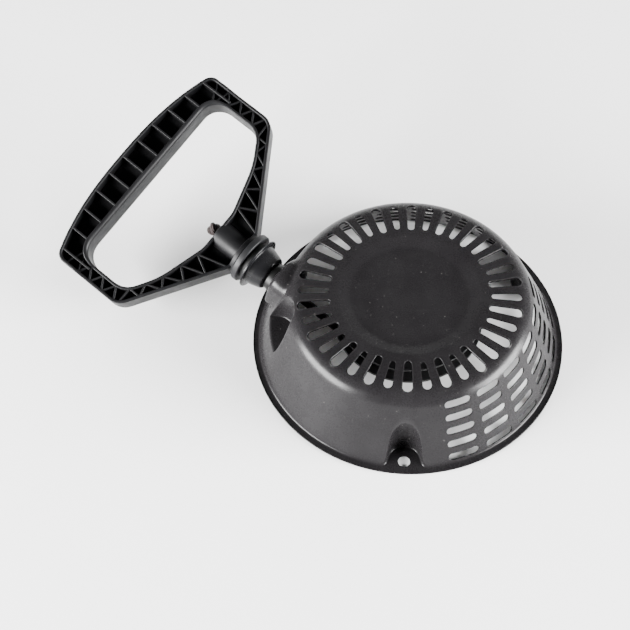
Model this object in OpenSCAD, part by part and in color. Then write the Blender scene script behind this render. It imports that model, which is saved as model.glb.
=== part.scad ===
/* [Housing] */
// Radius of the mounting flange
flange_r = 95; // [90:0.5:105]
// Height of the flat top above the mounting face
top_z = 46.3; // [42:0.1:56]
// Thickness of the pressed sheet
sheet = 1.2; // [1:0.1:1.6]
// Width of the flat rim outside the wall
rim_w = 3.8; // [2:0.1:6]
// Angle of the wall from the vertical
wall_angle = 24.7; // [20:0.1:28]
// Outer radius of the rounded top edge
edge_r = 12.8; // [9:0.1:15]
// Radius where the round dish in the top starts
dish_outer_r = 43; // [38:0.5:46]
// Radius of the dish floor
dish_inner_r = 35; // [30:0.5:37]
// Depth of the dish
dish_depth = 2.2; // [1:0.1:3]

/* [Mounting pockets] */
// Radius of the circle through the three mounting holes
mount_r = 87.3; // [82:0.1:90]
// Diameter of a mounting hole
mount_hole_d = 7; // [5:0.1:8]
// Radius of the round back of a mounting pocket
pocket_r = 10.1; // [8:0.1:12]
// How much a pocket widens on each side towards the rim
pocket_flare = 3; // [0:0.1:5]

/* [Top slots] */
// Number of slots round the top, half of them rolled and half plain
top_slot_count = 36; // [24:2:40]
// Radius where the rolled slots start
slot_inner_r = 47; // [46:0.1:50]
// Radius where the rolled slots end
slot_outer_r = 66.7; // [60:0.1:68]
// Width of a rolled slot at its outer end
slot_outer_w = 6; // [4:0.1:7]
// Width of a rolled slot at its inner end
slot_inner_w = 4.2; // [3:0.1:5]
// How much narrower and shorter a plain slot is
plain_slot_less = 0.9; // [0:0.1:1.5]

/* [Side slots] */
// Number of rows of side slots
side_rows = 5; // [3:1:5]
// Number of columns in one group of side slots
side_columns = 6; // [3:1:6]
// Angle between two columns
side_pitch = 15.5; // [15:0.1:16]
// Angle that one slot spans
side_slot_span = 12; // [8:0.5:12.5]
// Height of a side slot
side_slot_h = 4.2; // [3:0.1:5]
// Height of the middle of the lowest row
side_first_z = 5; // [4.5:0.1:7]
// Height between two rows
side_row_step = 8.4; // [7.5:0.1:8.6]

/* [Rope outlet] */
// Place of the outlet round the housing
outlet_angle = 166.2; // [164:0.1:168]
// How far the outlet face stands out from the wall
outlet_proud = 3.07; // [2.5:0.01:4]
// Height of the middle of the outlet
outlet_z = 27.5; // [26:0.1:30]
// Direction in which the rope leaves, seen from above
pull_azimuth = 145; // [140:0.5:150]
// Angle by which the rope rises as it leaves
pull_rise = 12; // [5:0.5:18]
// Half the width of the raised nose round the outlet
nose_half_w = 13; // [12:0.1:15]
// Height of the nose above the outlet's middle
nose_up = 18; // [15:0.1:19]
// Depth of the nose below the outlet's middle
nose_down = 12; // [11.5:0.1:14]
// Radius of the round recess beside the nose
recess_r = 14; // [12:0.1:15]
// Height of the recess floor
recess_floor_z = 17; // [14:0.1:22]

/* [Reel] */
// Outer radius of the reel
reel_r = 44.5; // [43:0.1:50]
// Radius of the drum that the rope is wound on
drum_r = 29; // [27:0.1:30]
// Thickness of each reel flange
reel_flange_t = 1.8; // [1.2:0.1:2.5]
// Height of the lower face of the rope groove
groove_z = 20; // [19:0.1:22]
// Radius of the fixed post that the reel turns on
post_r = 8; // [7:0.1:9]
// Running clearance on the post and on the pawl pins
run_clear = 0.05; // [0.02:0.01:0.1]
// Thickness of the spring strip
strip_t = 0.7; // [0.5:0.1:0.9]
// Number of turns of the spring strip
strip_turns = 12; // [8:1:13]

/* [Rope] */
// Diameter of the rope
rope_d = 5; // [4:0.1:5.4]
// Number of rope layers on the drum
rope_layers = 2; // [1:1:2]

/* [Pawls] */
// Distance of a pawl's pin from the reel's axis
pawl_pivot_r = 19.5; // [19.2:0.1:20]
// Length of a pawl from its pin to its tip
pawl_length = 19.5; // [17:0.1:20]
// Thickness of a pawl
pawl_t = 5.2; // [4:0.1:5.4]
// Radius of a pawl's pin
pawl_pin_r = 3.95; // [3.5:0.05:4]
// Angle through which a pawl swings out
pawl_swing = 25; // [15:1:28]
// Radius of the ratchet guide plate
guide_r = 30; // [29:0.1:31]

/* [Centre bolt] */
// Thread diameter of the centre bolt
bolt_d = 6; // [5:0.1:6]
// Size of the bolt head across its flats
bolt_af = 10; // [8:0.5:12]

/* [Handle] */
// Distance from the outlet face to the outer edge of the grip
grip_far = 127.2; // [115:0.1:140]
// Width of the grip bar
grip_w = 21.7; // [17:0.1:24]
// Half the overall width of the handle
handle_half_w = 74.8; // [65:0.1:85]
// Half the width of the finger window
window_half_w = 64.3; // [55:0.1:66]
// Thickness of the grip bar
grip_t = 17; // [14:0.1:20]
// Thickness of the arms
arm_t = 14; // [10:0.1:16]
// Turn of the handle about the rope
handle_twist = -20; // [-30:1:30]
// Thickness of the rims and ribs
rim_t = 2; // [1.5:0.1:2.5]
// Number of bays along the grip
grip_bays = 10; // [6:1:12]
// Diameter of the cup that closes on the rope guide
cup_d = 27; // [22:0.1:29]
// Diameter of the thin flange on the cup
cup_flange_d = 33.7; // [31:0.1:36]
// Diameter of the collar under the handle
collar_d = 33; // [30:0.1:36]

/* [Hidden] */
$fn = 72;
eps = 0.01;
far = 200;

black_paint = "#2b2a2c";
black_plastic = "#1d1c1e";
rubber_black = "#111111";
steel = "#9b9da0";
zinc = "#b9b8ae";
nylon = "#34383c";
rope_black = "#1a1718";

// --- housing profile, worked out from the flange radius, the top and the wall angle
wall_foot_r = flange_r - rim_w;
edge_cz = top_z - edge_r;
edge_tangent_z = edge_cz + edge_r * sin(wall_angle);
edge_cr = wall_foot_r - edge_r * cos(wall_angle) - (edge_tangent_z - sheet) * tan(wall_angle);
wall_skin = sheet / cos(wall_angle);
inner_top_z = top_z - sheet;
dish_floor_z = top_z - dish_depth;
dish_under_z = dish_floor_z - sheet;
function wall_r(z) = wall_foot_r - (z - sheet) * tan(wall_angle);
function edge_arc(r) = [
  for (a = [wall_angle : (90 - wall_angle) / 10 : 90.001]) [edge_cr + r * cos(a), edge_cz + r * sin(a)]
];

outlet_r = wall_r(outlet_z) + outlet_proud;
outlet_x = outlet_r * cos(outlet_angle);
outlet_y = outlet_r * sin(outlet_angle);

mount_angles = [-90, 30, 150];
pocket_run = flange_r - mount_r + 2;
nose_crown = 9;
nose_brow = 8;
nose_run = 34;
recess_back = 18;
side_group_angles = [-28.6, 91.4];
slot_cut_z = edge_cz;

// --- reel heights, from the mounting face upwards
groove_w = 2 * rope_d + 0.8;
groove_top_z = groove_z + groove_w;
reel_low_z = groove_z - reel_flange_t;
reel_floor_z = groove_top_z + reel_flange_t;
post_plate_t = 1.5;
post_plate_r = 20;
strip_gap = 0.4;
reel_ring_t = 2;
reel_ring_r = dish_inner_r + 2.5;
ring_top_z = dish_under_z - 1.7;
post_low_z = reel_low_z - 2;
sleeve_low_z = post_low_z + 0.3;
sleeve_r = post_r + 3;
rib_t = 3;
rib_count = 6;
pawl_angles = [60, 240];
drum_wall = 2.5;
boss_r = drum_r - drum_wall - pawl_pivot_r + 0.4;
boss_low_z = reel_low_z - 3.2;
pawl_top_z = boss_low_z - 0.8;
pawl_low_z = pawl_top_z - pawl_t;
guide_t = 1.8;
guide_top_z = pawl_low_z - 1;
guide_low_z = guide_top_z - guide_t;
tab_r = 1.8;
tab_clear = 0.4;
tab_proud = 0.7;
tab_at = [1.5, -10];
pin_length = 11.8;
spring_pocket_r = 6.7;
spring_pocket_h = 3;
washer_t = 1.3;
washer_r = sleeve_r + 0.5;
washer_clear = 0.4;
washer_low_z = post_low_z - washer_t;
shoulder_r = bolt_d / 2 + 1.05;
thread_clear = 0.05;
bolt_grip_z = 28;
head_flange_t = 1;
head_flange_r = 7.5;
head_top_z = guide_low_z - 0.2;
head_h = 4;
coil_wire_r = 0.55;
coil_r = shoulder_r + 2.4;
leg_wire_r = 0.45;
leg_coil_r = 5.3;

// --- rope: wound in layers of two turns, then out through the guide
rope_r = rope_d / 2;
rope_fit = 0.04;
layer_first_r = drum_r + rope_r + 0.1;
layer_last_r = layer_first_r + (rope_layers - 1) * rope_d;
turn_low_z = groove_z + rope_r + 0.4;
turn_high_z = turn_low_z + rope_d;
lead_clear = 0.4;
lead_bend = 18;
knot_r = 4.6;
knot_angle = 150;
knot_back = drum_wall + 0.2;

// --- stack on the rope, measured along it from the outlet face
guide_barrel_r = 7;
guide_collar_r = 9;
guide_neck_r = 8.9;
guide_seat_r = guide_neck_r + 0.7;
guide_neck_l = 5.3;
guide_inner_l = 5.2;
guide_bore_r = rope_r + 0.7;
cup_start = guide_neck_l + 0.05;
cup_end = 17.2;
cup_flange_t = 1;
cup_small_r = 10.85;
rope_hole_r = rope_r + 0.3;
damper_end = 20.8;
collar_end = 24.8;
step_start = collar_end + 0.3;
arm_start = 26.9;
step_r = 14;
hub_r = 8.6;
hub_end = 48;
knot_start = hub_end + 0.3;
knot_l = 7.5;
grip_near = grip_far - grip_w;
grip_half = handle_half_w - 7;
grip_bow = 9;
web_t = 2.5;
mouth_half = 13.7;
shoulder_x = grip_near - 39;

// --- places in the outlet's own frame: X along the rope, Y across, Z up
module in_pull_frame() {
  translate([outlet_x, outlet_y, outlet_z])
    rotate([0, 0, pull_azimuth]) rotate([0, -pull_rise, 0]) children();
}
module about_rope() {
  in_pull_frame() rotate([0, 90, 0]) children();
}
function pull_point(s) = [
  outlet_x + s * cos(pull_rise) * cos(pull_azimuth),
  outlet_y + s * cos(pull_rise) * sin(pull_azimuth),
  outlet_z + s * sin(pull_rise)
];

// --- small helpers
function turn2(p, a) = [p[0] * cos(a) - p[1] * sin(a), p[0] * sin(a) + p[1] * cos(a)];
function unit(v) = v / norm(v);
// A closed outline moved outwards by d, vertex by vertex, for a counter-clockwise list
function grown(pts, d) = [
  for (i = [0 : len(pts) - 1])
    let (
      n = len(pts),
      a = unit(pts[i] - pts[(i + n - 1) % n]),
      b = unit(pts[(i + 1) % n] - pts[i]),
      m = [a[1] + b[1], -a[0] - b[0]]
    )
    pts[i] + m * (2 * d / (m * m))
];
// An arc that rounds the corner c between p and q with radius r
function corner(p, c, q, r, steps = 5) =
  let (
    u = unit(p - c),
    v = unit(q - c),
    half = acos(u * v) / 2,
    o = c + unit(u + v) * (r / sin(half)),
    s = c + u * (r / tan(half)) - o,
    e = c + v * (r / tan(half)) - o,
    side = s[0] * e[1] - s[1] * e[0] > 0 ? 1 : -1
  )
  [for (i = [0 : steps]) o + turn2(s, side * i * (180 - 2 * half) / steps)];
// A closed outline from corners given as [x, y, radius]
function rounded(list) =
  let (n = len(list))
  [
    for (i = [0 : n - 1])
      let (
        p = list[(i + n - 1) % n],
        c = list[i],
        q = list[(i + 1) % n]
      )
      for (w = corner([p[0], p[1]], [c[0], c[1]], [q[0], q[1]], c[2])) w
  ];
module bar(p, q, w) {
  length = norm(q - p);
  translate(p) rotate(atan2(q[1] - p[1], q[0] - p[0])) translate([-w / 2, -w / 2]) square([length + w, w]);
}
// A round tube swept along points, with flat ends
module sweep_tube(path, r, sides) {
  n = len(path);
  rings = [
    for (i = [0 : n - 1])
      let (
        t = unit(path[min(i + 1, n - 1)] - path[max(i - 1, 0)]),
        u = unit(cross(t, abs(t[2]) > 0.9 ? [1, 0, 0] : [0, 0, 1])),
        v = cross(t, u)
      )
      for (k = [0 : sides - 1]) path[i] + r * (cos(k * 360 / sides) * u + sin(k * 360 / sides) * v)
  ];
  ends = [
    [for (k = [0 : sides - 1]) k],
    [for (k = [sides - 1 : -1 : 0]) (n - 1) * sides + k]
  ];
  walls = [
    for (i = [0 : n - 2], k = [0 : sides - 1])
      let (k2 = (k + 1) % sides)
      [i * sides + k, (i + 1) * sides + k, (i + 1) * sides + k2, i * sides + k2]
  ];
  polyhedron(points = rings, faces = concat(ends, walls), convexity = 10);
}
function helix(r, z0, z1, turns, step = 18) = [
  for (a = [0 : step : turns * 360]) [r * cos(a), r * sin(a), z0 + (z1 - z0) * a / (turns * 360)]
];

// ================= housing =================
module outer_form() {
  rotate_extrude($fn = 180) polygon(concat(
    [[0, 0], [flange_r, 0], [flange_r, sheet], [wall_foot_r, sheet]],
    edge_arc(edge_r),
    [[dish_outer_r, top_z], [dish_inner_r, dish_floor_z], [0, dish_floor_z]]
  ));
}
module inner_form() {
  rotate_extrude($fn = 180) polygon(concat(
    [[0, -1], [wall_r(-1) - wall_skin, -1]],
    edge_arc(edge_r - sheet),
    [[dish_outer_r - 0.4, inner_top_z], [dish_inner_r - 0.4, dish_under_z], [0, dish_under_z]]
  ));
}
// The nose round the rope outlet: a block along the rope with a rounded roof and brow
module nose_form(less) {
  w = nose_half_w - less;
  up = nose_up - less;
  down = nose_down - less;
  in_pull_frame() intersection() {
    rotate([90, 0, 90]) translate([0, 0, -nose_run])
      linear_extrude(height = nose_run - less, convexity = 4) union() {
      translate([-w, -down]) square([2 * w, down + up - nose_crown]);
      translate([-w + nose_crown, -down]) square([2 * (w - nose_crown), down + up]);
      for (side = [-1, 1]) translate([side * (w - nose_crown), up - nose_crown]) circle(nose_crown);
    }
    translate([0, w + 1, 0]) rotate([90, 0, 0]) linear_extrude(height = 2 * w + 2, convexity = 4) union() {
      translate([-nose_run - 2, -down - 1]) square([nose_run + 2 - less, down + 1 + up - nose_brow]);
      translate([-nose_run - 2, -down - 1]) square([nose_run + 2 - less - nose_brow, down + 1 + up]);
      translate([-less - nose_brow, up - nose_brow]) circle(nose_brow);
    }
  }
}
module pocket_outline(more) {
  r = pocket_r + more;
  circle(r);
  polygon([[0, -r], [pocket_run, -r - pocket_flare], [pocket_run, r + pocket_flare], [0, r]]);
}
module at_mounts() {
  for (a = mount_angles) rotate(a) translate([mount_r, 0, 0]) children();
}
module at_recess() {
  across = nose_half_w + recess_r;
  place = [
    outlet_x - recess_back * cos(pull_azimuth) - across * sin(pull_azimuth),
    outlet_y - recess_back * sin(pull_azimuth) + across * cos(pull_azimuth)
  ];
  translate(place) children();
}
module tapered_slot(r0, r1, w0, w1) {
  translate([r0 + w0 / 2, 0]) circle(w0 / 2);
  translate([r1 - w1 / 2, 0]) circle(w1 / 2);
  polygon([[r0 + w0 / 2, -w0 / 2], [r1 - w1 / 2, -w1 / 2], [r1 - w1 / 2, w1 / 2], [r0 + w0 / 2, w0 / 2]]);
}
module top_slots() {
  step = 360 / top_slot_count;
  less = plain_slot_less;
  translate([0, 0, slot_cut_z]) linear_extrude(height = far, convexity = 20) union() {
    for (i = [0 : 2 : top_slot_count - 2])
      rotate(90 + i * step) tapered_slot(slot_inner_r, slot_outer_r, slot_inner_w, slot_outer_w);
    for (i = [1 : 2 : top_slot_count - 1])
      rotate(90 + i * step)
        tapered_slot(slot_inner_r + less, slot_outer_r - less, slot_inner_w - less, slot_outer_w - less);
  }
}
module side_slot(z) {
  half = wall_r(z) * side_slot_span / 2 * PI / 180 - side_slot_h / 2;
  translate([wall_r(z) - 12, 0, z]) rotate([90, 0, 90]) linear_extrude(height = 24) union() {
    translate([-half, -side_slot_h / 2]) square([2 * half, side_slot_h]);
    for (side = [-1, 1]) translate([side * half, 0]) circle(side_slot_h / 2, $fn = 32);
  }
}
module side_slots() {
  for (group = side_group_angles, c = [0 : side_columns - 1], k = [0 : side_rows - 1])
    rotate(group + (c - (side_columns - 1) / 2) * side_pitch) side_slot(side_first_z + k * side_row_step);
}
module housing() color(black_paint) difference() {
  union() {
    difference() {
      union() {
        outer_form();
        nose_form(0);
      }
      inner_form();
      nose_form(sheet);
    }
    intersection() {
      outer_form();
      union() {
        at_mounts() linear_extrude(height = top_z) pocket_outline(sheet);
        at_recess() translate([0, 0, recess_floor_z - sheet]) cylinder(r = recess_r + sheet, h = top_z);
      }
    }
  }
  at_mounts() {
    translate([0, 0, sheet]) linear_extrude(height = top_z) pocket_outline(0);
    translate([0, 0, -1]) cylinder(d = mount_hole_d, h = sheet + 2);
  }
  at_recess() translate([0, 0, recess_floor_z]) cylinder(r = recess_r, h = top_z);
  top_slots();
  side_slots();
  about_rope() {
    translate([0, 0, -8]) cylinder(r = guide_barrel_r + 0.1, h = 16);
    cylinder(r = guide_seat_r + 0.1, h = 16);
  }
}

// ================= rope guide =================
module rope_guide() color(rubber_black) about_rope() rotate_extrude() polygon([
  [guide_bore_r, -guide_inner_l + 2.5],
  [guide_bore_r + 2.4, -guide_inner_l],
  [guide_collar_r, -guide_inner_l],
  [guide_collar_r, -sheet],
  [guide_barrel_r, -sheet],
  [guide_barrel_r, 0],
  [guide_seat_r, 0],
  [guide_neck_r, guide_neck_l - 0.8],
  [guide_neck_r - 0.8, guide_neck_l],
  [guide_bore_r + 2.2, guide_neck_l],
  [guide_bore_r, guide_neck_l - 2.4]
]);

// ================= post, bolt and washer =================
module reel_post() color(zinc) difference() {
  union() {
    translate([0, 0, post_low_z]) cylinder(r = post_r, h = dish_under_z - post_low_z);
    translate([0, 0, dish_under_z - post_plate_t]) cylinder(r = post_plate_r, h = post_plate_t);
  }
  translate([0, 0, post_low_z - 1]) cylinder(d = bolt_d, h = bolt_grip_z + 2 - post_low_z);
  translate([post_r - 2, -0.2, reel_floor_z + 0.3])
    cube([4, strip_t + 0.4, dish_under_z - post_plate_t - reel_floor_z - 0.3]);
}
module centre_bolt() color(zinc) {
  flats_r = bolt_af / 2 / cos(30);
  translate([0, 0, head_top_z - head_flange_t - head_h]) cylinder(r = flats_r, h = head_h + eps, $fn = 6);
  translate([0, 0, head_top_z - head_flange_t]) cylinder(r = head_flange_r, h = head_flange_t);
  translate([0, 0, head_top_z]) cylinder(r = shoulder_r, h = washer_low_z - head_top_z);
  translate([0, 0, washer_low_z - eps])
    cylinder(r = bolt_d / 2 - thread_clear, h = bolt_grip_z - washer_low_z);
}
module reel_washer() color(steel) translate([0, 0, washer_low_z]) difference() {
  cylinder(r = washer_r, h = washer_t);
  translate([0, 0, -1]) cylinder(r = bolt_d / 2 + 0.1, h = washer_t + 2);
}

// ================= recoil spring =================
// A strip wound as a flat spiral, its inner end bent into the post's slot
module recoil_spring() {
  r0 = post_r + 1.2;
  r1 = reel_ring_r - reel_ring_t - strip_gap - strip_t;
  low = reel_floor_z + strip_gap;
  high = dish_under_z - post_plate_t - strip_gap;
  steps = strip_turns * 20;
  function spiral_r(i) = r0 + (r1 - r0) * i / steps;
  inner = [for (i = [0 : steps]) spiral_r(i) * [cos(-i * 18), sin(-i * 18)]];
  outer = [for (i = [steps : -1 : 0]) (spiral_r(i) + strip_t) * [cos(-i * 18), sin(-i * 18)]];
  hook = [[post_r - 1.5, strip_t], [post_r - 1.5, 0]];
  color(steel) translate([0, 0, low]) linear_extrude(height = high - low, convexity = 20)
    polygon(concat(inner, outer, hook));
}

// ================= reel =================
module reel_pocket_ring(r0, r1, z0, z1) {
  translate([0, 0, z0]) difference() {
    cylinder(r = r1, h = z1 - z0, $fn = 120);
    translate([0, 0, -1]) cylinder(r = r0, h = z1 - z0 + 2, $fn = 120);
  }
}
module at_pawls() {
  for (a = pawl_angles) rotate(a) translate([pawl_pivot_r, 0, 0]) children();
}
module reel() color(nylon) difference() {
  union() {
    translate([0, 0, groove_top_z]) cylinder(r = reel_r, h = reel_flange_t, $fn = 120);
    reel_pocket_ring(drum_r - drum_wall, reel_r, reel_low_z, groove_z);
    reel_pocket_ring(drum_r - drum_wall, drum_r, reel_low_z, reel_floor_z);
    reel_pocket_ring(reel_ring_r - reel_ring_t, reel_ring_r, groove_top_z, ring_top_z);
    translate([0, 0, sleeve_low_z]) cylinder(r = sleeve_r, h = reel_floor_z - sleeve_low_z);
    intersection() {
      translate([0, 0, reel_low_z]) cylinder(r = drum_r - 1, h = reel_floor_z - reel_low_z, $fn = 120);
      for (i = [0 : rib_count - 1]) rotate(i * 360 / rib_count)
        translate([0, -rib_t / 2, reel_low_z + 1]) cube([drum_r, rib_t, groove_top_z - reel_low_z]);
    }
    at_pawls() translate([0, 0, boss_low_z]) cylinder(r = boss_r, h = groove_top_z + eps - boss_low_z);
  }
  translate([0, 0, sleeve_low_z - 1]) cylinder(r = post_r + run_clear, h = far);
  translate([0, 0, boss_low_z - 1]) cylinder(r = washer_r + washer_clear, h = sleeve_low_z - boss_low_z + 1);
  at_pawls() {
    translate([0, 0, boss_low_z - 1]) cylinder(r = pawl_pin_r + run_clear, h = pin_length + 2);
    translate([0, 0, boss_low_z - 1]) cylinder(r = spring_pocket_r, h = spring_pocket_h + 1);
  }
  rotate(knot_angle) translate([drum_r - 6, 0, turn_low_z])
    rotate([0, 90, 0]) cylinder(r = rope_r + 0.2, h = 12);
}
module rope_winding() color(rope_black) {
  for (layer = [0 : rope_layers - 1], z = [turn_low_z, turn_high_z])
    translate([0, 0, z]) rotate_extrude($fn = 96)
      translate([layer_first_r + layer * rope_d, 0]) circle(rope_r - rope_fit, $fn = 20);
}
module knot(length) {
  rotate_extrude($fn = 32) polygon([
    for (a = [-90 : 15 : 90]) [
      knot_r * pow(cos(a), 0.6) * (1 - 0.12 * cos(3 * a)) + (abs(a) == 90 ? 0 : 0.01),
      length / 2 + length / 2 * sin(a)
    ]
  ]);
}
module reel_knot() color(rope_black) rotate(knot_angle) translate([0, 0, turn_low_z]) rotate([0, 90, 0]) {
  translate([0, 0, drum_r - knot_back - knot_l]) knot(knot_l);
  translate([0, 0, drum_r - knot_back - 0.7]) cylinder(r = rope_r - rope_fit, h = knot_back + 0.7, $fn = 20);
}

// ================= pawls and their springs =================
module pawl_at(angle) color(steel) rotate(angle) translate([pawl_pivot_r, 0, 0]) {
  translate([0, 0, pawl_low_z]) linear_extrude(height = pawl_t) union() {
    circle(5.5);
    polygon([[-5, 0], [5.4, 0], [5, -10], [2.8, -pawl_length], [-0.6, -pawl_length - 0.8], [-3.5, -11]]);
  }
  translate([0, 0, pawl_top_z - eps]) cylinder(r = pawl_pin_r, h = pin_length);
  translate([tab_at[0], tab_at[1], guide_low_z - tab_proud])
    cylinder(r = tab_r, h = pawl_low_z - guide_low_z + tab_proud + eps);
}
module pawl_1() pawl_at(pawl_angles[0]);
module pawl_2() pawl_at(pawl_angles[1]);
module pawl_spring_at(angle) color(steel) rotate(angle) translate([pawl_pivot_r, 0, 0])
  sweep_tube(helix(leg_coil_r, boss_low_z + 0.2, boss_low_z + 2.3, 1.9, 20), leg_wire_r, 6);
module pawl_spring_1() pawl_spring_at(pawl_angles[0]);
module pawl_spring_2() pawl_spring_at(pawl_angles[1]);

// ================= ratchet guide and friction spring =================
// Where a pawl's tab stands in the guide's own frame when the pawl is t of the way out
function tab_path(t) =
  turn2([pawl_pivot_r, 0] + turn2(tab_at, t * pawl_swing), -t * pawl_swing);
module tab_slot() {
  w = tab_r + tab_clear;
  steps = 6;
  for (i = [0 : steps]) translate(tab_path(i / steps)) circle(w, $fn = 24);
  for (i = [0 : steps - 1]) {
    p = tab_path(i / steps);
    q = tab_path((i + 1) / steps);
    n = w * turn2(unit(q - p), 90);
    polygon([p - n, q - n, q + n, p + n]);
  }
}
module ratchet_guide() color(zinc) difference() {
  union() {
    translate([0, 0, guide_low_z]) cylinder(r = guide_r, h = guide_t, $fn = 96);
    translate([0, 0, guide_top_z - eps]) cylinder(r = shoulder_r + 3, h = 1);
  }
  translate([0, 0, guide_low_z - 1]) cylinder(r = shoulder_r + run_clear, h = far);
  translate([0, 0, guide_low_z - 1]) linear_extrude(height = guide_t + 3) union() {
    for (a = pawl_angles) rotate(a) tab_slot();
    for (a = pawl_angles) rotate(a + 90) translate([19, 0]) circle(5);
  }
}
module friction_spring() color(steel)
  sweep_tube(helix(coil_r, guide_top_z + 1 + coil_wire_r + 0.05, washer_low_z - coil_wire_r - 0.05, 2.6, 20),
    coil_wire_r, 6);

// ================= rope to the handle =================
// It leaves the outer turns along their tangent, where it is clear of them, and bends into the guide
leave_angle = outlet_angle + acos(layer_last_r / outlet_r);
leave_length = sqrt(pow(layer_last_r + rope_d + lead_clear, 2) - pow(layer_last_r, 2));
leave_point = layer_last_r * [cos(leave_angle), sin(leave_angle)]
  + leave_length * [sin(leave_angle), -cos(leave_angle)];
leave_z = turn_low_z + (outlet_z - turn_low_z) * leave_length / sqrt(pow(outlet_r, 2) - pow(layer_last_r, 2));
lead_start = [leave_point[0], leave_point[1], leave_z];
function lead_curve(t) =
  pow(1 - t, 2) * lead_start + 2 * t * (1 - t) * pull_point(-lead_bend) + t * t * pull_point(0);
rope_route = concat(
  [for (t = [0 : 0.125 : 0.99]) lead_curve(t)],
  [for (t = [0 : 0.25 : 1]) pull_point(t * knot_start)]
);
module rope_lead() color(rope_black) sweep_tube(rope_route, rope_r - rope_fit, 12);
module handle_knot() color(rope_black) about_rope() translate([0, 0, knot_start]) knot(knot_l);

// ================= cup, damper and collar =================
module cup() color(black_plastic) about_rope() rotate_extrude() polygon([
  [rope_hole_r, cup_start],
  [cup_small_r - 2, cup_start],
  [cup_small_r - 0.6, cup_start + 0.6],
  [cup_small_r, cup_start + 2],
  [cup_d / 2 - 0.7, cup_start + 7],
  [cup_d / 2, cup_end - cup_flange_t],
  [cup_flange_d / 2, cup_end - cup_flange_t],
  [cup_flange_d / 2, cup_end],
  [cup_d / 2 - 2.5, cup_end],
  [cup_small_r - 2, cup_start + 3.5],
  [rope_hole_r, cup_start + 3.5]
]);
module damper() color(rubber_black) about_rope() rotate_extrude() polygon([
  [rope_hole_r, cup_start + 3.6],
  [cup_small_r - 2.3, cup_start + 3.6],
  [cup_d / 2 - 2.8, cup_end],
  [cup_d / 2 - 0.4, cup_end],
  [cup_d / 2 - 0.4, damper_end],
  [rope_hole_r, damper_end]
]);
module collar() color(black_plastic) about_rope() translate([0, 0, damper_end]) difference() {
  cylinder(d = collar_d, h = collar_end - damper_end);
  translate([0, 0, -1]) cylinder(r = rope_hole_r, h = collar_end - damper_end + 2);
}

// ================= handle =================
grip_edge = [
  for (i = [0 : 14])
    let (y = grip_half * (i / 7 - 1))
    [grip_far - grip_bow * pow(abs(y) / grip_half, 2.5), y]
];
grip_corner_x = grip_far - grip_bow - 2.5;
outer_line = concat(
  grip_edge,
  corner(grip_edge[14], [grip_corner_x, handle_half_w], [shoulder_x, handle_half_w], 7),
  corner([grip_far - 20, handle_half_w], [shoulder_x, handle_half_w], [arm_start, mouth_half], 12),
  [[arm_start, mouth_half], [arm_start, -mouth_half]],
  corner([arm_start, -mouth_half], [shoulder_x, -handle_half_w], [grip_far - 20, -handle_half_w], 12),
  corner([shoulder_x, -handle_half_w], [grip_corner_x, -handle_half_w], grip_edge[0], 7)
);
arm_inner_x = shoulder_x + 3;
window_line = rounded([
  [grip_near, -window_half_w, 12],
  [grip_near, window_half_w, 12],
  [arm_inner_x, window_half_w, 14],
  [hub_end + (arm_inner_x - hub_end) * 0.45, 0.7 * window_half_w, 60],
  [hub_end, 0.22 * window_half_w, 20],
  [hub_end, -0.22 * window_half_w, 20],
  [hub_end + (arm_inner_x - hub_end) * 0.45, -0.7 * window_half_w, 60],
  [arm_inner_x, -window_half_w, 14]
]);
module handle_flat() difference() {
  polygon(outer_line);
  polygon(window_line);
}
module handle_rims() {
  difference() {
    polygon(outer_line);
    polygon(grown(outer_line, -rim_t));
  }
  difference() {
    polygon(grown(window_line, rim_t));
    polygon(window_line);
  }
}
// Straight ribs along the grip, and a zigzag of ribs in the arms
module grip_ribs() intersection() {
  handle_flat();
  for (i = [0 : grip_bays]) translate([grip_near - 12, (i / grip_bays - 0.5) * 2 * grip_half - rim_t / 2])
    square([grip_w + 14, rim_t]);
}
function arm_outer_point(t, side) = [
  shoulder_x + (arm_start - shoulder_x) * t,
  side * (handle_half_w + (mouth_half - handle_half_w) * t)
];
function arm_inner_point(t, side) = [
  arm_inner_x + 1 + (hub_end - arm_inner_x) * t,
  side * (window_half_w - 2) * (1 - 0.8 * t)
];
module arm_ribs() intersection() {
  handle_flat();
  for (side = [-1, 1]) {
    for (i = [0 : 3]) {
      x = grip_far - 17 - i * 10;
      bar([x, side * handle_half_w], [x - 5, side * window_half_w], rim_t * 0.7);
      bar([x - 5, side * window_half_w], [x - 10, side * handle_half_w], rim_t * 0.7);
    }
    for (i = [0 : 4]) {
      b = arm_inner_point((i + 0.5) / 5, side);
      bar(arm_outer_point(i / 5, side), b, rim_t * 0.7);
      bar(b, arm_outer_point((i + 1) / 5, side), rim_t * 0.7);
    }
  }
}
module slab(t) translate([0, 0, -t / 2]) linear_extrude(height = t, convexity = 10) children();
module handle() color(black_plastic) in_pull_frame() rotate([handle_twist, 0, 0]) difference() {
  union() {
    slab(web_t) handle_flat();
    slab(arm_t) handle_rims();
    slab(arm_t - 1) arm_ribs();
    slab(grip_t) intersection() {
      union() {
        handle_rims();
        grip_ribs();
      }
      translate([grip_near - 3, -far / 2]) square([far, far]);
    }
    rotate([0, 90, 0]) translate([0, 0, arm_start]) cylinder(r = hub_r, h = hub_end - arm_start);
    rotate([0, 90, 0]) translate([0, 0, step_start]) cylinder(r = step_r, h = arm_start + 1.5 - step_start);
  }
  rotate([0, 90, 0]) translate([0, 0, step_start - 1])
    cylinder(r = rope_hole_r + 0.1, h = hub_end - step_start + 2);
}

housing();
rope_guide();
reel_post();
centre_bolt();
reel_washer();
recoil_spring();
reel();
rope_winding();
reel_knot();
pawl_spring_1();
pawl_spring_2();
pawl_1();
pawl_2();
ratchet_guide();
friction_spring();
rope_lead();
handle_knot();
cup();
damper();
collar();
handle();
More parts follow.
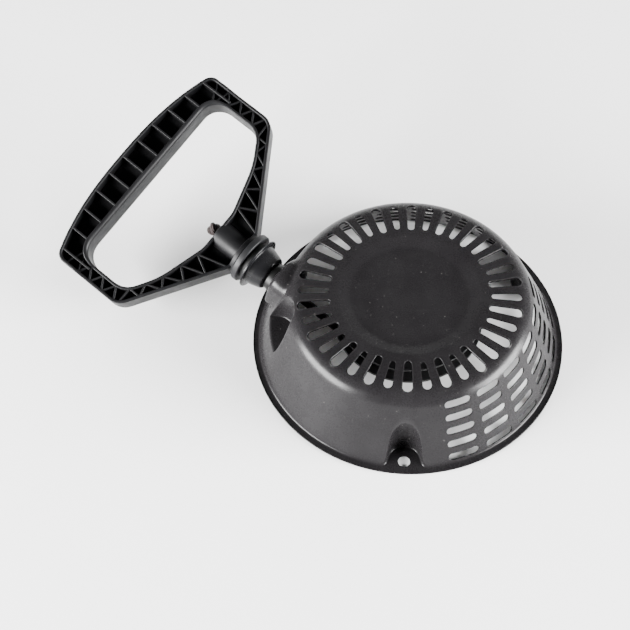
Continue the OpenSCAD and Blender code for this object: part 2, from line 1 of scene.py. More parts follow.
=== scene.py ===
"""The finished look of a recoil starter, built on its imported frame.

Lengths inside the builders are in millimetres, in the frame of the model: the
reel turns about Z, the mounting face is Z = 0 and the slotted top is above it.
"""

import logging
from dataclasses import dataclass
from enum import Enum

import bmesh
import bpy
import numpy as np
from mathutils import Matrix, Vector
from mathutils.geometry import delaunay_2d_cdt


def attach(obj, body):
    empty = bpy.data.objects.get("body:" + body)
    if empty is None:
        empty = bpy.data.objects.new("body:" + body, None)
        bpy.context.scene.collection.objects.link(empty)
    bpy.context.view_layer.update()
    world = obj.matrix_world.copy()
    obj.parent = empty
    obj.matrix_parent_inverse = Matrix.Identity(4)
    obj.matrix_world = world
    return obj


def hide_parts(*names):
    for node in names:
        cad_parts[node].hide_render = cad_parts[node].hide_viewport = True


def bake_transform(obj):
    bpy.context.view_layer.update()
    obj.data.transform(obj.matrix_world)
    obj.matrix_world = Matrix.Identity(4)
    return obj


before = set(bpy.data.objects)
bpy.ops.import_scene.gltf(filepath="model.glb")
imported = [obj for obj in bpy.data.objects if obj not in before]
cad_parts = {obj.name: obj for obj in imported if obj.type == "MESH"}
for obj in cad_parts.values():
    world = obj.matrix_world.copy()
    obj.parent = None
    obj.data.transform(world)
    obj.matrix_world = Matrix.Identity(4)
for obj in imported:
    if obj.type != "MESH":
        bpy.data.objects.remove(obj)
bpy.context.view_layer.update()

MM = 0.001
ROPE_D = 5.0
ROPE_SIDES = 14
LOG = logging.getLogger("recoil_starter")

Array = np.ndarray


# ---------------------------------------------------------------- small maths
def lerp(a: Array, b: Array, t: Array) -> Array:
    """Straight blend: a where t is 0 and b where t is 1."""
    return a + (b - a) * t


def ease(x: Array) -> Array:
    """Smooth step from 0 to 1, flat at both ends: 3x squared less 2x cubed."""
    x = np.clip(x, 0, 1)
    return x * x * (3 - 2 * x)


def unit(v: Array) -> Array:
    """Vectors scaled to length one along the last axis."""
    return v / np.maximum(np.linalg.norm(v, axis=-1, keepdims=True), 1e-12)


def polar(r: Array, angle: Array, z: Array) -> Array:
    """Points from a radius, an angle in degrees and a height."""
    a = np.radians(angle)
    return np.stack(np.broadcast_arrays(r * np.cos(a), r * np.sin(a), z), -1)


def bearing(p: Array) -> Array:
    """The angle of points about Z, in degrees."""
    return np.degrees(np.arctan2(p[..., 1], p[..., 0]))


def raised(line: Array, z: Array) -> Array:
    """Flat points carried to a height, which is one number or one for each point."""
    return np.column_stack([line, np.broadcast_to(z, len(line))])


def lengths(line: Array) -> Array:
    """How far along a line each of its points is, from 0 at the first."""
    return np.concatenate([[0], np.cumsum(np.linalg.norm(np.diff(line, axis=0), axis=1))])


def stand(name: str, data: bpy.types.ID) -> bpy.types.Object:
    """Puts an object that shows the given data into the scene."""
    obj = bpy.data.objects.new(name, data)
    bpy.context.scene.collection.objects.link(obj)
    return obj


def bezier(a: Array, k: Array, b: Array, rows: int) -> Array:
    """Quadratic curves from a to b, drawn towards k, one row of points at a time.

    Args:
        a: Start points, N x 3.
        k: Control points, N x 3.
        b: End points, N x 3.
        rows: Number of rows.

    Returns:
        An array of rows x N x 3.
    """
    t = np.linspace(0, 1, rows)[:, None, None]
    return (1 - t) ** 2 * a + 2 * t * (1 - t) * k + t * t * b


def bend(a: Array, c1: Array, c2: Array, b: Array, e1: Array, e2: Array) -> Array:
    """A surface that leaves a, climbs a wall from c1 to c2 and goes on to b.

    Both corners are rounded with quadratic curves that start e1 and e2 from
    them. Where the wall is lower than e1 + e2 the two curves fade into a single
    one, so a wall that runs out leaves a plain fillet.

    Args:
        a: Start points on the floor, N x 3.
        c1: Foot of the wall, N x 3.
        c2: Top of the wall, N x 3.
        b: End points beyond the wall, N x 3.
        e1: Reach of the foot's curve up the wall, N.
        e2: Reach of the top's curve down the wall, N.

    Returns:
        Rows of points from a to b, rows x N x 3.
    """
    h = np.linalg.norm(c2 - c1, axis=-1)[:, None]
    up = unit(c2 - c1)
    e1, e2 = e1[:, None], e2[:, None]
    k = np.clip(h / (e1 + e2 + 1e-9), 0, 1)
    mid = (c1 + c2) / 2
    single = (a + 2 * mid + b) / 4
    w1 = lerp(single, c1 + up * e1 * k, k)
    w2 = lerp(single, c2 - up * e2 * k, k)
    foot = bezier(a, lerp((a + mid) / 2, c1, k), w1, 5)
    wall = np.stack([lerp(w1, w2, t) for t in (0.33, 0.67)])
    top = bezier(w2, lerp((mid + b) / 2, c2, k), b, 6)
    return np.concatenate([foot, wall, top])


def rounded_line(corners: Array, radii: list, steps: int = 8, closed: bool = False) -> Array:
    """A line through corners, each replaced by an arc that touches both its sides.

    Args:
        corners: The sharp corners, N x 2.
        radii: The radius at each corner; an end of an open line ignores its own.
        steps: Number of pieces in an arc.
        closed: Whether the last corner joins the first.

    Returns:
        The points of the rounded line, M x 2.
    """
    n = len(corners)
    out = []
    for i in range(n):
        if not closed and i in (0, n - 1):
            out.append(corners[i][None])
            continue
        c = corners[i]
        u, v = unit(corners[i - 1] - c), unit(corners[(i + 1) % n] - c)
        half = np.arccos(np.clip(u @ v, -1, 1)) / 2
        centre = c + unit(u + v) * radii[i] / np.sin(half)
        start = c + u * radii[i] / np.tan(half) - centre
        end = c + v * radii[i] / np.tan(half) - centre
        side = np.sign(start[0] * end[1] - start[1] * end[0])
        t = side * np.linspace(0, np.pi - 2 * half, steps + 1)
        out.append(centre + np.stack([start[0] * np.cos(t) - start[1] * np.sin(t),
                                      start[0] * np.sin(t) + start[1] * np.cos(t)], -1))
    return np.concatenate(out)


def resample(line: Array, count: int) -> Array:
    """The same line with its points spread evenly along its length."""
    s = lengths(line)
    want = np.linspace(0, s[-1], count)
    return np.stack([np.interp(want, s, line[:, k]) for k in range(line.shape[1])], -1)


def soften(line: Array, spread: float, step: float) -> Array:
    """Rounds a line's corners: every point becomes a bell-weighted mean along the line.

    Args:
        line: Points an even step apart, N x K.
        spread: Width of the bell in millimetres.
        step: Distance between the points.

    Returns:
        The softened points; the two ends stay where they were.
    """
    reach = int(3 * spread / step)
    bell = np.exp(-0.5 * (np.arange(-reach, reach + 1) * step / spread) ** 2)
    bell /= bell.sum()
    padded = np.pad(line, ((reach, reach), (0, 0)), mode="edge")
    soft = np.stack([np.convolve(padded[:, k], bell, "valid") for k in range(line.shape[1])], -1)
    hold = ease(np.minimum(np.arange(len(line)), np.arange(len(line))[::-1]) / (1.5 * reach))
    return lerp(line, soft, hold[:, None])


# ---------------------------------------------------------------- mesh making
class Skin:
    """Gathers grids of points in millimetres into one mesh."""

    def __init__(self) -> None:
        """Starts empty."""
        self.points: list[Array] = []
        self.faces: list[Array] = []
        self.uvs: list[Array] = []
        self.count = 0

    def add(self, points: Array, faces: Array, uv: Array | None = None) -> None:
        """Adds points and the faces between them, numbered from their own first point."""
        self.points.append(points.reshape(-1, 3))
        self.faces.append(faces + self.count)
        self.uvs.append(np.zeros((len(self.points[-1]), 2)) if uv is None else uv.reshape(-1, 2))
        self.count += len(self.points[-1])

    def grid(self, p: Array, around: bool = False, uv: Array | None = None) -> None:
        """Adds a sheet of quads over rows x columns of points.

        Args:
            p: The points, rows x columns x 3.
            around: Whether the last column joins the first.
            uv: A pattern place for each point, rows x columns x 2.
        """
        rows, cols = p.shape[:2]
        index = np.arange(rows * cols).reshape(rows, cols)
        if around:
            index = np.concatenate([index, index[:, :1]], axis=1)
        quads = np.stack([index[:-1, :-1], index[:-1, 1:], index[1:, 1:], index[1:, :-1]], -1)
        self.add(p, quads.reshape(-1, 4), uv)

    def cap(self, ring: Array) -> None:
        """Closes a ring of points with triangles to its middle."""
        n = len(ring)
        i = np.arange(n)
        fan = np.stack([i, (i + 1) % n, np.full(n, n)], -1)
        self.add(np.concatenate([ring, ring.mean(0)[None]]), fan)

    def zip_rings(self, a: Array, b: Array) -> None:
        """Joins two rings round Z that have different numbers of points.

        All the points are taken in the order of their angle; each makes a triangle
        with the point before it on its own ring and the last point met on the other.
        """
        ang_a, ang_b = bearing(a) % 360, bearing(b) % 360
        a, b = a[np.argsort(ang_a)], b[np.argsort(ang_b)]
        order = np.argsort(np.concatenate([ang_a, ang_b]), kind="stable")
        is_a = order < len(a)
        ia = (np.cumsum(is_a) - 1) % len(a)
        ib = (np.cumsum(~is_a) - 1) % len(b)
        first = np.where(is_a, (ia - 1) % len(a), (ib - 1) % len(b) + len(a))
        second = np.where(is_a, ia, ib + len(a))
        third = np.where(is_a, ib + len(a), ia)
        self.add(np.concatenate([a, b]), np.stack([first, second, third], -1))

    def build(self, name: str, outside: Array, merge: float = 0.02) -> bpy.types.Object:
        """Makes the mesh object, with doubles merged and faces turned outwards.

        Args:
            name: The object's name.
            outside: A direction that a face with the greatest reach along it looks to.
            merge: Points closer than this many millimetres become one.

        Returns:
            The object, at the origin.
        """
        mesh = bpy.data.meshes.new(name)
        faces = [row for block in self.faces for row in block.tolist()]
        mesh.from_pydata(np.concatenate(self.points) * MM, [], faces)
        layer = mesh.uv_layers.new(name="along")
        corner = np.empty(len(mesh.loops), np.int32)
        mesh.loops.foreach_get("vertex_index", corner)
        layer.data.foreach_set("uv", np.concatenate(self.uvs)[corner].astype(np.float32).ravel())
        bm = bmesh.new()
        bm.from_mesh(mesh)
        bmesh.ops.remove_doubles(bm, verts=bm.verts, dist=merge * MM)
        bmesh.ops.dissolve_degenerate(bm, edges=bm.edges, dist=0.001 * MM)
        bmesh.ops.recalc_face_normals(bm, faces=bm.faces)
        bm.to_mesh(mesh)
        bm.free()
        obj = stand(name, mesh)
        centre, normal = np.empty(len(mesh.polygons) * 3), np.empty(len(mesh.polygons) * 3)
        mesh.polygons.foreach_get("center", centre)
        mesh.polygons.foreach_get("normal", normal)
        centre, normal = centre.reshape(-1, 3), normal.reshape(-1, 3)
        far = np.argsort(centre @ outside)[-40:]
        if np.sum(normal[far] @ outside) < 0:
            mesh.flip_normals()
        mesh.polygons.foreach_set("use_smooth", np.ones(len(mesh.polygons), bool))
        return obj


def finish_edges(obj: bpy.types.Object, width: float, angle: float = 40, segments: int = 2) -> None:
    """Rounds a piece's sharp edges and evens out the shading of its flats.

    Args:
        obj: The piece.
        width: Width of the rounding in millimetres.
        angle: Edges that turn by more than this many degrees are rounded.
        segments: Number of faces across the rounding.
    """
    bevel = obj.modifiers.new("rounded edges", "BEVEL")
    bevel.width = width * MM
    bevel.segments = segments
    bevel.limit_method = "ANGLE"
    bevel.angle_limit = np.radians(angle)
    bevel.use_clamp_overlap = True
    even = obj.modifiers.new("even shading", "WEIGHTED_NORMAL")
    even.keep_sharp = False
    even.weight = 50


def place(obj: bpy.types.Object, body: str, slot: str, finish: bpy.types.Material,
          replaces: tuple = ()) -> bpy.types.Object:
    """Gives a piece its finish, its body and the solids that it stands for.

    Args:
        obj: The piece.
        body: Name of the body that carries it.
        slot: The record's material slot. Not used.
        finish: Its material.
        replaces: Names of the solids that it hides.

    Returns:
        The same piece.
    """
    obj.data.materials.clear()
    obj.data.materials.append(finish)
    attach(obj, body)
    if replaces:
        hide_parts(*replaces)
    LOG.info("%s: %d faces, on %s", obj.name, len(obj.data.polygons), body)
    return obj


def sweep(path: Array, radius: Array, sides: int, closed: bool = False) -> Array:
    """A round tube along a path.

    Each ring stands square to the path. Its two directions come from the path's
    tangent and a steady sideways vector, so the tube doesn't twist.

    Args:
        path: Points of the centre line, N x 3.
        radius: Radius at each point, N, or N x sides for a shaped tube.
        sides: Number of points round the tube.
        closed: Whether the path's end joins its start.

    Returns:
        Points of the tube, N x sides x 3.
    """
    ahead = np.roll(path, -1, 0) - np.roll(path, 1, 0) if closed else np.gradient(path, axis=0)
    t = unit(ahead)
    flat = np.linalg.svd(path - path.mean(0))[2][2]
    u = unit(np.cross(t, flat + 0.001))
    v = np.cross(t, u)
    a = np.linspace(0, 2 * np.pi, sides, endpoint=False)
    r = np.broadcast_to(np.asarray(radius).reshape(len(path), -1), (len(path), sides))
    ring = u[:, None] * np.cos(a)[None, :, None] + v[:, None] * np.sin(a)[None, :, None]
    return path[:, None] + ring * r[..., None]


# ---------------------------------------------------------------- the outlet's frame
@dataclass(frozen=True)
class PullFrame:
    """Directions at the rope outlet: x along the rope, y across, z up."""

    origin: tuple = (-79.8, 19.6, 27.5)
    azimuth: float = 145.0
    rise: float = 12.0
    twist: float = 0.0

    def axes(self) -> Array:
        """The three unit directions as rows, after the twist about the rope."""
        a, e, t = np.radians([self.azimuth, self.rise, self.twist])
        x = np.array([np.cos(e) * np.cos(a), np.cos(e) * np.sin(a), np.sin(e)])
        y = np.array([-np.sin(a), np.cos(a), 0])
        z = np.cross(x, y)
        return np.stack([x, np.cos(t) * y + np.sin(t) * z, np.cos(t) * z - np.sin(t) * y])

    def out(self, p: Array) -> Array:
        """Points of this frame as points of the model."""
        return np.asarray(self.origin) + np.asarray(p, float) @ self.axes()

    def into(self, p: Array) -> Array:
        """Points of the model as points of this frame."""
        return (p - np.asarray(self.origin)) @ self.axes().T


ROPE_LINE = PullFrame()
HANDLE_PLANE = PullFrame(twist=-20.0)


# ---------------------------------------------------------------- housing
@dataclass
class Notch:
    """A mounting pocket: where it is and how its walls fan out above it."""

    angle: float
    left: tuple
    right: tuple
    fan_left: float
    fan_right: float


@dataclass
class Housing:
    """The pressed cover: flange, leaning wall, slotted top and round dish."""

    flange_r: float = 95.0
    foot_r: float = 91.2
    top_z: float = 46.3
    sheet: float = 1.2
    wall_angle: float = 24.7
    edge_r: float = 12.8
    dish: tuple = (43.0, 35.0, 44.1)
    mount_r: float = 87.3
    hole_r: float = 3.5
    pocket_r: float = 10.1
    pocket_flare: float = 0.31
    slot_r: tuple = (47.0, 66.7)
    slot_w: tuple = (4.2, 6.0)
    plain_less: float = 0.9
    ring_r: tuple = (67.5, 45.4)
    wall_top_r: float = 67.8
    row_z: tuple = (2.3, 9.2, 17.0, 26.0, 34.4, 42.6)
    row_steps: int = 6
    slot_row_z: tuple = (5.0, 13.4, 21.8, 30.2, 38.6)
    slot_h: float = 4.2
    pitch: float = 15.5
    span: float = 12.0
    outlet_hole: float = 7.1
    foot_round: float = 1.6
    foot_run: float = 1.025
    fillet_r: float = 89.0
    dish_round: float = 9.0
    slot_count: int = 36
    cell_half: float = 5.0
    cell_out: int = 8
    cell_in: int = 6
    cell_side: tuple = (67.5, 66.6, 65.6, 64.6, 63.4, 62.0, 60.0, 57.0, 54.0, 51.0, 48.2, 45.4)
    dish_rows: tuple = (45.4, 44.6, 43.8, 43, 42.2, 41.4, 40, 38.5, 37, 36, 35.2, 34.4, 33.6, 32.8,
                        31, 26, 20, 13, 7, 3)
    columns: int = 6
    group_angles: tuple = (-28.6, 91.4)
    mount_angles: tuple = (-90, 30, 150)
    nose_box: tuple = (13.0, 18.0, 12.0)
    nose_corners: tuple = ((9, 4, 9), (5, 8, -7))
    recess_at: tuple = (-18.0, 27.0)
    recess_r: float = 13.4
    rim_line: tuple = ((94.2, 1.2), (94.45, 1.24), (94.65, 1.38), (94.82, 1.4), (94.95, 1.3), (95.0, 1.2))

    def __post_init__(self) -> None:
        """Works out the section of the cover, from the flange's edge to the middle.

        Its corners are the flange, the foot of the wall, the point where the wall
        would meet the top, and the two bends of the dish, each with its radius.
        """
        tan = np.tan(np.radians(self.wall_angle))
        crest = self.foot_r - (self.top_z - self.sheet) * tan
        r_out, r_in, z_in = self.dish
        corners = np.array([[self.flange_r, self.sheet], [self.foot_r, self.sheet], [crest, self.top_z],
                            [r_out, self.top_z], [r_in, z_in], [0, z_in]])
        line = rounded_line(corners, [0, self.foot_round, self.edge_r, self.dish_round, self.dish_round, 0], 24)
        self.pr, self.pz = line[:, 0], line[:, 1]
        self.ps = lengths(line)
        self.tan = tan
        self.radial = np.array(self.cell_side)

    # -- the section
    def s_at_r(self, r: Array) -> Array:
        """Length along the section at a radius."""
        return np.interp(-np.asarray(r, float), -self.pr, self.ps)

    def s_at_z(self, z: Array) -> Array:
        """Length along the section at a height, on the wall or its rounded top edge."""
        top = np.argmax(self.pz)
        low = np.searchsorted(self.ps, self.s_at_r(self.foot_r + 1.02))
        return np.interp(z, self.pz[low:top + 1], self.ps[low:top + 1])

    def on(self, angle: Array, s: Array, lift: Array = 0.0) -> Array:
        """Points of the turned surface: the section at s carried to an angle, raised by lift."""
        r, z = np.interp(s, self.ps, self.pr), np.interp(s, self.ps, self.pz)
        tr = np.interp(s, self.ps, np.gradient(self.pr, self.ps + np.arange(len(self.ps)) * 1e-9))
        tz = np.interp(s, self.ps, np.gradient(self.pz, self.ps + np.arange(len(self.ps)) * 1e-9))
        size = np.hypot(tr, tz)
        return polar(r + lift * tz / size, angle, z - lift * tr / size)

    def height(self, r: Array) -> Array:
        """Height of the surface at a radius."""
        return np.interp(-np.asarray(r, float), -self.pr, self.pz)

    def sharp_height(self, r: Array) -> Array:
        """Height of the wall and top at a radius, without the fillet at the wall's foot."""
        return np.where(r > self.fillet_r, self.sheet + (self.foot_r - r) / self.tan, self.height(r))

    def sharp_s(self, r: Array) -> Array:
        """Length along the section at a radius, with the wall run down to its foot."""
        foot = self.s_at_z(4.0) - (4.0 - self.sheet) / np.cos(np.radians(self.wall_angle))
        run = foot + (self.foot_r - r) / np.sin(np.radians(self.wall_angle))
        return np.where(r > self.fillet_r, run, self.s_at_r(r))

    def rows(self) -> Array:
        """The lengths that every upright seam is divided at, from the foot to the top ring."""
        z = np.concatenate([np.linspace(a, b, self.row_steps + 1)[:-1]
                            for a, b in zip(self.row_z[:-1], self.row_z[1:])])
        low = self.s_at_z(np.append(z, self.row_z[-1]))
        return np.concatenate([low, np.linspace(low[-1], self.s_at_r(self.wall_top_r), 4)[1:]])

    # -- the slotted top
    def cell_angles(self, count: int) -> Array:
        """Angles all round the ring of slots, count of them to each slot's cell."""
        one = 90 + np.linspace(-self.cell_half, self.cell_half, count + 1)[:-1]
        return (one + 2 * self.cell_half * np.arange(self.slot_count)[:, None]).ravel()

    def slot_ring(self, grow: float, less: float) -> Array:
        """Outline of a tapered slot with round ends, grown by a margin.

        Args:
            grow: Margin in millimetres.
            less: How much narrower and shorter this slot is.

        Returns:
            Points in step with the cell's border, N x 2.
        """
        r0, r1 = self.slot_r[0] + less - grow, self.slot_r[1] - less + grow
        w0, w1 = self.slot_w[0] - less + 2 * grow, self.slot_w[1] - less + 2 * grow
        a = np.radians(np.linspace(-90, 90, self.cell_out + 1))[:-1]
        b = np.radians(np.linspace(90, 270, self.cell_in + 1))[:-1]
        f = ((self.ring_r[0] - self.radial) / (self.ring_r[0] - self.ring_r[1]))[:-1]
        far, near = r1 - w1 / 2, r0 + w0 / 2
        side = np.stack([lerp(far, near, f), lerp(w1, w0, f) / 2], -1)
        back = np.stack([lerp(near, far, f), -lerp(w0, w1, f) / 2], -1)
        return np.concatenate([
            np.stack([far + w1 / 2 * np.cos(a), w1 / 2 * np.sin(a)], -1), side,
            np.stack([near + w0 / 2 * np.cos(b), w0 / 2 * np.sin(b)], -1), back])

    def top(self, skin: Skin) -> None:
        """The ring of 36 slots, rolled and plain in turn, and the dish inside it."""
        half = self.cell_half
        ones = np.ones(self.cell_out)
        r = np.concatenate([self.ring_r[0] * ones, self.radial[:-1], self.ring_r[1] * ones[:self.cell_in],
                            self.radial[::-1][:-1]])
        a = np.concatenate([np.linspace(-half, half, self.cell_out + 1)[:-1], half + 0 * self.radial[:-1],
                            np.linspace(half, -half, self.cell_in + 1)[:-1], -half + 0 * self.radial[:-1]])
        border = polar(r, a, 0)[:, :2]
        lips = {0: ([0, 0.14, 0.3, 0.5, 0.7], [-0.12, 0.16, 0.24, 0.14, 0]),
                1: ([0, 0.15, 0.35], [-0.14, -0.03, 0])}
        for kind, (grow, lift) in lips.items():
            rings = [self.slot_ring(g, kind * self.plain_less) for g in grow]
            rings += [lerp(rings[-1], border, t) for t in (0.4, 0.75, 1.0)]
            flat = np.stack(rings)
            z = self.height(np.linalg.norm(flat, axis=-1))
            z[:len(lift)] += np.array(lift)[:, None]
            radius, angle = np.linalg.norm(flat, axis=-1), bearing(flat)
            for i in range(kind, self.slot_count, 2):
                skin.grid(polar(radius, angle + 90 + 2 * half * i, z), around=True)
        dish = self.on(self.cell_angles(self.cell_in)[None], self.s_at_r(self.dish_rows)[:, None])
        skin.grid(dish, around=True)
        skin.cap(dish[-1])

    # -- the wall
    def plain(self, skin: Skin, low: Array, high: Array, rows: Array) -> None:
        """A stretch of wall between two lists of angles, straight from row to row."""
        t = ((rows - rows[0]) / (rows[-1] - rows[0]))[:, None]
        skin.grid(self.on(lerp(low[None], high[None], t), rows[:, None]))

    def side_slots(self, skin: Skin, centre: float) -> Array:
        """Six columns of five long slots with round ends, each in a cell of its own.

        Args:
            skin: Where the faces go.
            centre: The angle of the middle of the group.

        Returns:
            The angles of the group's columns.
        """
        cols, steps = 8, self.row_steps
        rows = self.rows()
        angles = []
        for c in range(self.columns):
            mid = centre + (c - (self.columns - 1) / 2) * self.pitch
            edge = mid + np.linspace(-self.pitch / 2, self.pitch / 2, cols + 1)
            angles.append(edge[:-1])
            for k, z in enumerate(self.slot_row_z):
                seam = rows[k * steps:(k + 1) * steps + 1]
                s = np.concatenate([seam[-1] + 0 * edge[:-1], seam[::-1][:-1],
                                    seam[0] + 0 * edge[:-1], seam[:-1]])
                a = np.concatenate([edge[:-1], edge[-1] + 0 * seam[:-1],
                                    edge[::-1][:-1], edge[0] + 0 * seam[:-1]])
                wall = self.foot_r - (z - self.sheet) * self.tan
                flat = wall * np.radians(self.span / 2) - self.slot_h / 2
                rings = []
                for grow in (0, 0.15, 0.4):
                    end = self.slot_h / 2 + grow
                    turn = np.radians(np.linspace(90, -90, steps + 1))[:-1]
                    line = np.linspace(-flat, flat, cols + 1)[:-1]
                    y = np.concatenate([line, flat + end * np.cos(turn), -line, -flat - end * np.cos(turn)])
                    up = np.concatenate([end + 0 * line, end * np.sin(turn),
                                         -end + 0 * line, -end * np.sin(turn)])
                    rings.append(self.on(mid + np.degrees(np.arcsin(y / wall)), self.s_at_z(z + up),
                                         0.0 if grow else -0.12))
                rings.append(self.on(a, s))
                skin.grid(np.stack(rings), around=True)
        angles = np.concatenate([*angles, [centre + self.columns / 2 * self.pitch]])
        self.plain(skin, angles, angles, rows[5 * steps:])
        return angles

    def pocket(self, skin: Skin, notch: Notch) -> tuple:
        """A mounting pocket: an upright round wall cut into the leaning one.

        The foot follows the flange circle, turns in along the flared sides and
        round the back. Above it the wall is upright as far as the leaning wall,
        and from that edge straight lines fan out to the top ring.

        Args:
            skin: Where the faces go.
            notch: Place of the pocket.

        Returns:
            The foot line, its outward side and the first row above it.
        """
        rows = self.rows()
        flare_run, lip_full, lip_rise, fan_rise = 3.2, 3.6, 9, 4
        s0, s1 = rows[0], rows[-1]
        back = np.radians(np.linspace(-90, -270, 60))
        half = self.pocket_r + self.pocket_flare * flare_run
        at = np.degrees(np.arctan2(half, self.mount_r + flare_run))
        left = polar(self.foot_r, np.linspace(notch.left[0] - notch.angle, -at, 60), 0)[:, :2]
        right = polar(self.foot_r, np.linspace(at, notch.right[0] - notch.angle, 60), 0)[:, :2]
        bay = np.stack([self.mount_r + self.pocket_r * np.cos(back), self.pocket_r * np.sin(back)], -1)
        raw = resample(np.concatenate([left, bay, right]), 600)
        step = np.linalg.norm(raw[1] - raw[0])
        line = resample(soften(raw, 2.0, step), 73)
        turn = np.radians(notch.angle)
        line = line @ np.array([[np.cos(turn), np.sin(turn)], [-np.sin(turn), np.cos(turn)]])
        n = len(line)
        radius = np.linalg.norm(line, axis=1)
        angle = np.unwrap(bearing(line), period=360)
        angle += 360 * np.round((notch.angle - angle[n // 2]) / 360)
        span = np.linspace(0, 1, n)
        inward = np.clip((self.foot_r - radius) / 2, 0, 1)
        a, b = span[np.argmax(inward > 0.2)], span[n - 1 - np.argmax(inward[::-1] > 0.2)]
        above = np.interp(span, [0, a, 0.5, b, 1],
                          [notch.left[1], notch.angle - notch.fan_left, notch.angle,
                           notch.angle + notch.fan_right, notch.right[1]])
        above = soften(above[:, None], 3.0, 1.0)[:, 0]
        ahead = unit(np.gradient(line, axis=0))
        side = np.stack([ahead[:, 1], -ahead[:, 0]], -1)
        h = np.maximum(self.sharp_height(radius) - self.sheet, 0)
        foot_s = self.sharp_s(radius)
        lip = lerp(s0 - self.sharp_s(np.array([self.foot_r])), lip_full, ease(h / lip_rise))
        floor = raised(line, self.sheet)
        start = floor + raised(side, 0) * self.foot_run
        reach = lip / (s1 - foot_s)
        fan = ease(h / fan_rise)
        beyond = self.on(lerp(angle, above, reach * fan), lerp(foot_s, s1, reach))
        crest = raised(line, self.sheet + h)
        part = bend(start, floor, crest, beyond, np.full(n, self.foot_round), np.maximum(lip * 0.8, 0.3))
        skin.grid(part)
        t = ((rows - s0) / (s1 - s0))[:, None]
        w = lerp(reach[None], 1.0, t)
        skin.grid(self.on(lerp(angle[None], above[None], lerp(t, w, fan[None])), lerp(foot_s[None], s1, w)))
        return start[:, :2], above

    def skirt(self, skin: Skin, angles: Array) -> Array:
        """The plain fillet between flange and wall. Returns its edge on the flange."""
        n = len(angles)
        foot = polar(self.foot_r, angles, self.sheet)
        start = polar(self.foot_r + self.foot_run, angles, self.sheet)
        beyond = self.on(angles, np.full(n, self.rows()[0]))
        part = bend(start, foot, foot, beyond, np.full(n, self.foot_round), np.full(n, 0.3))
        skin.grid(part)
        return start[:, :2]

    def radius_gap(self, p: Array) -> Array:
        """How far points stand outside the turned surface, negative where they are inside."""
        top = np.argmax(self.pz)
        z = np.minimum(p[..., 2], self.top_z)
        return np.linalg.norm(p[..., :2], axis=-1) - np.interp(z, self.pz[1:top + 1], self.pr[1:top + 1])

    def meet(self, start: Array, way: Array, reach: float) -> Array:
        """Distance along lines at which they enter the turned surface, by halving.

        Args:
            start: Start points outside the surface, N x 3.
            way: Unit directions, N x 3.
            reach: Longest distance that is looked at.

        Returns:
            The distance for each line, N.
        """
        low, high = np.zeros(len(start)), np.full(len(start), reach)
        high[self.radius_gap(start) <= 0] = 0
        for _ in range(30):
            mid = (low + high) / 2
            inside = self.radius_gap(start + way * mid[:, None]) <= 0
            low, high = np.where(inside, low, mid), np.where(inside, mid, high)
        return high

    def nose_reach(self, turn: Array) -> Array:
        """Distance from the outlet's middle to the nose's side: a block with a round crown and foot."""
        c, s = np.cos(turn), np.sin(turn)
        half, up, down = self.nose_box
        reach = np.minimum(half / np.maximum(np.abs(c), 1e-9),
                           np.where(s > 0, up / np.maximum(s, 1e-9), down / np.maximum(-s, 1e-9)))
        for radius, middle_y, middle_z in self.nose_corners:
            cy = np.sign(c) * middle_y
            along = cy * c + middle_z * s
            arc = along + np.sqrt(np.maximum(along**2 - (middle_y**2 + middle_z**2 - radius**2), 0))
            y, z = reach * c, reach * s
            corner = (np.abs(y) > middle_y) & (z * np.sign(middle_z) > abs(middle_z))
            reach = np.where(corner, arc, reach)
        return reach

    def nose(self, skin: Skin, low: tuple, left: tuple, right: tuple, count: int) -> Array:
        """The raised nose round the rope outlet, between two slanted seams.

        Straight lines run out from the outlet's hole over the face, round its brow,
        back along the sides to the wall and on to the border of its patch.

        Args:
            skin: Where the faces go.
            low: The angles of the two seams at the foot.
            left: The angles of the left seam at the foot and the top.
            right: The angles of the right seam at the foot, the recess floor and the top.
            count: Number of columns.

        Returns:
            The patch's angles at the top.
        """
        rows = self.rows()
        heel, crown, lip = 2.2, 5.5, 2.4
        face_most, run_most = 25.0, 34.0
        seam = rows[self.row_steps:]
        sl = np.interp(seam, [rows[0], rows[-1]], left)
        sr = np.interp(seam, [rows[0], rows[2 * self.row_steps], rows[-1]], right)
        foot = np.linspace(*low, count + 1)
        base = np.linspace(sl[0], sr[0], count + 1)
        self.plain(skin, foot, base, rows[:self.row_steps + 1])
        top = np.linspace(sl[-1], sr[-1], count + 1)
        a = np.concatenate([base[:-1], sr[:-1], top[::-1][:-1], sl[::-1][:-1]])
        s = np.concatenate([seam[0] + 0 * base[:-1], seam[:-1], seam[-1] + 0 * top[:-1], seam[::-1][:-1]])
        border = self.on(a, s)
        local = ROPE_LINE.into(border)
        turn = np.arctan2(local[:, 2], local[:, 1])
        way = np.stack([0 * turn, np.cos(turn), np.sin(turn)], -1) @ ROPE_LINE.axes()
        origin = np.asarray(ROPE_LINE.origin)[None]
        block = self.nose_reach(turn)
        face = np.minimum(block, self.meet(np.repeat(origin, len(turn), 0), way, face_most))
        corner = origin + way * face[:, None]
        back = -ROPE_LINE.axes()[0][None]
        run = np.where(face < block - 0.01, 0, self.meet(corner, np.repeat(back, len(turn), 0), run_most))
        crest = corner + back * run[:, None]
        ca = bearing(crest) % 360
        cs = self.s_at_z(np.minimum(crest[:, 2], self.top_z - 0.05))
        brow = lerp(heel, crown, ease(np.sin(turn)))
        gap = np.linalg.norm(border - crest, axis=-1)
        reach = np.minimum(lip / np.maximum(gap, 1e-6), 0.6)
        beyond = self.on(lerp(ca, a, reach), lerp(cs, s, reach))
        edge = np.minimum(brow, np.maximum(face - self.outlet_hole - lip, 0.2))
        start = origin + way * (face - edge)[:, None]
        part = bend(start, corner, crest, beyond, brow, np.full(len(turn), heel))
        hole = origin + way * self.outlet_hole
        skin.grid(np.stack([lerp(hole, start, t) for t in (0, 0.5, 1)]), around=True)
        skin.grid(part, around=True)
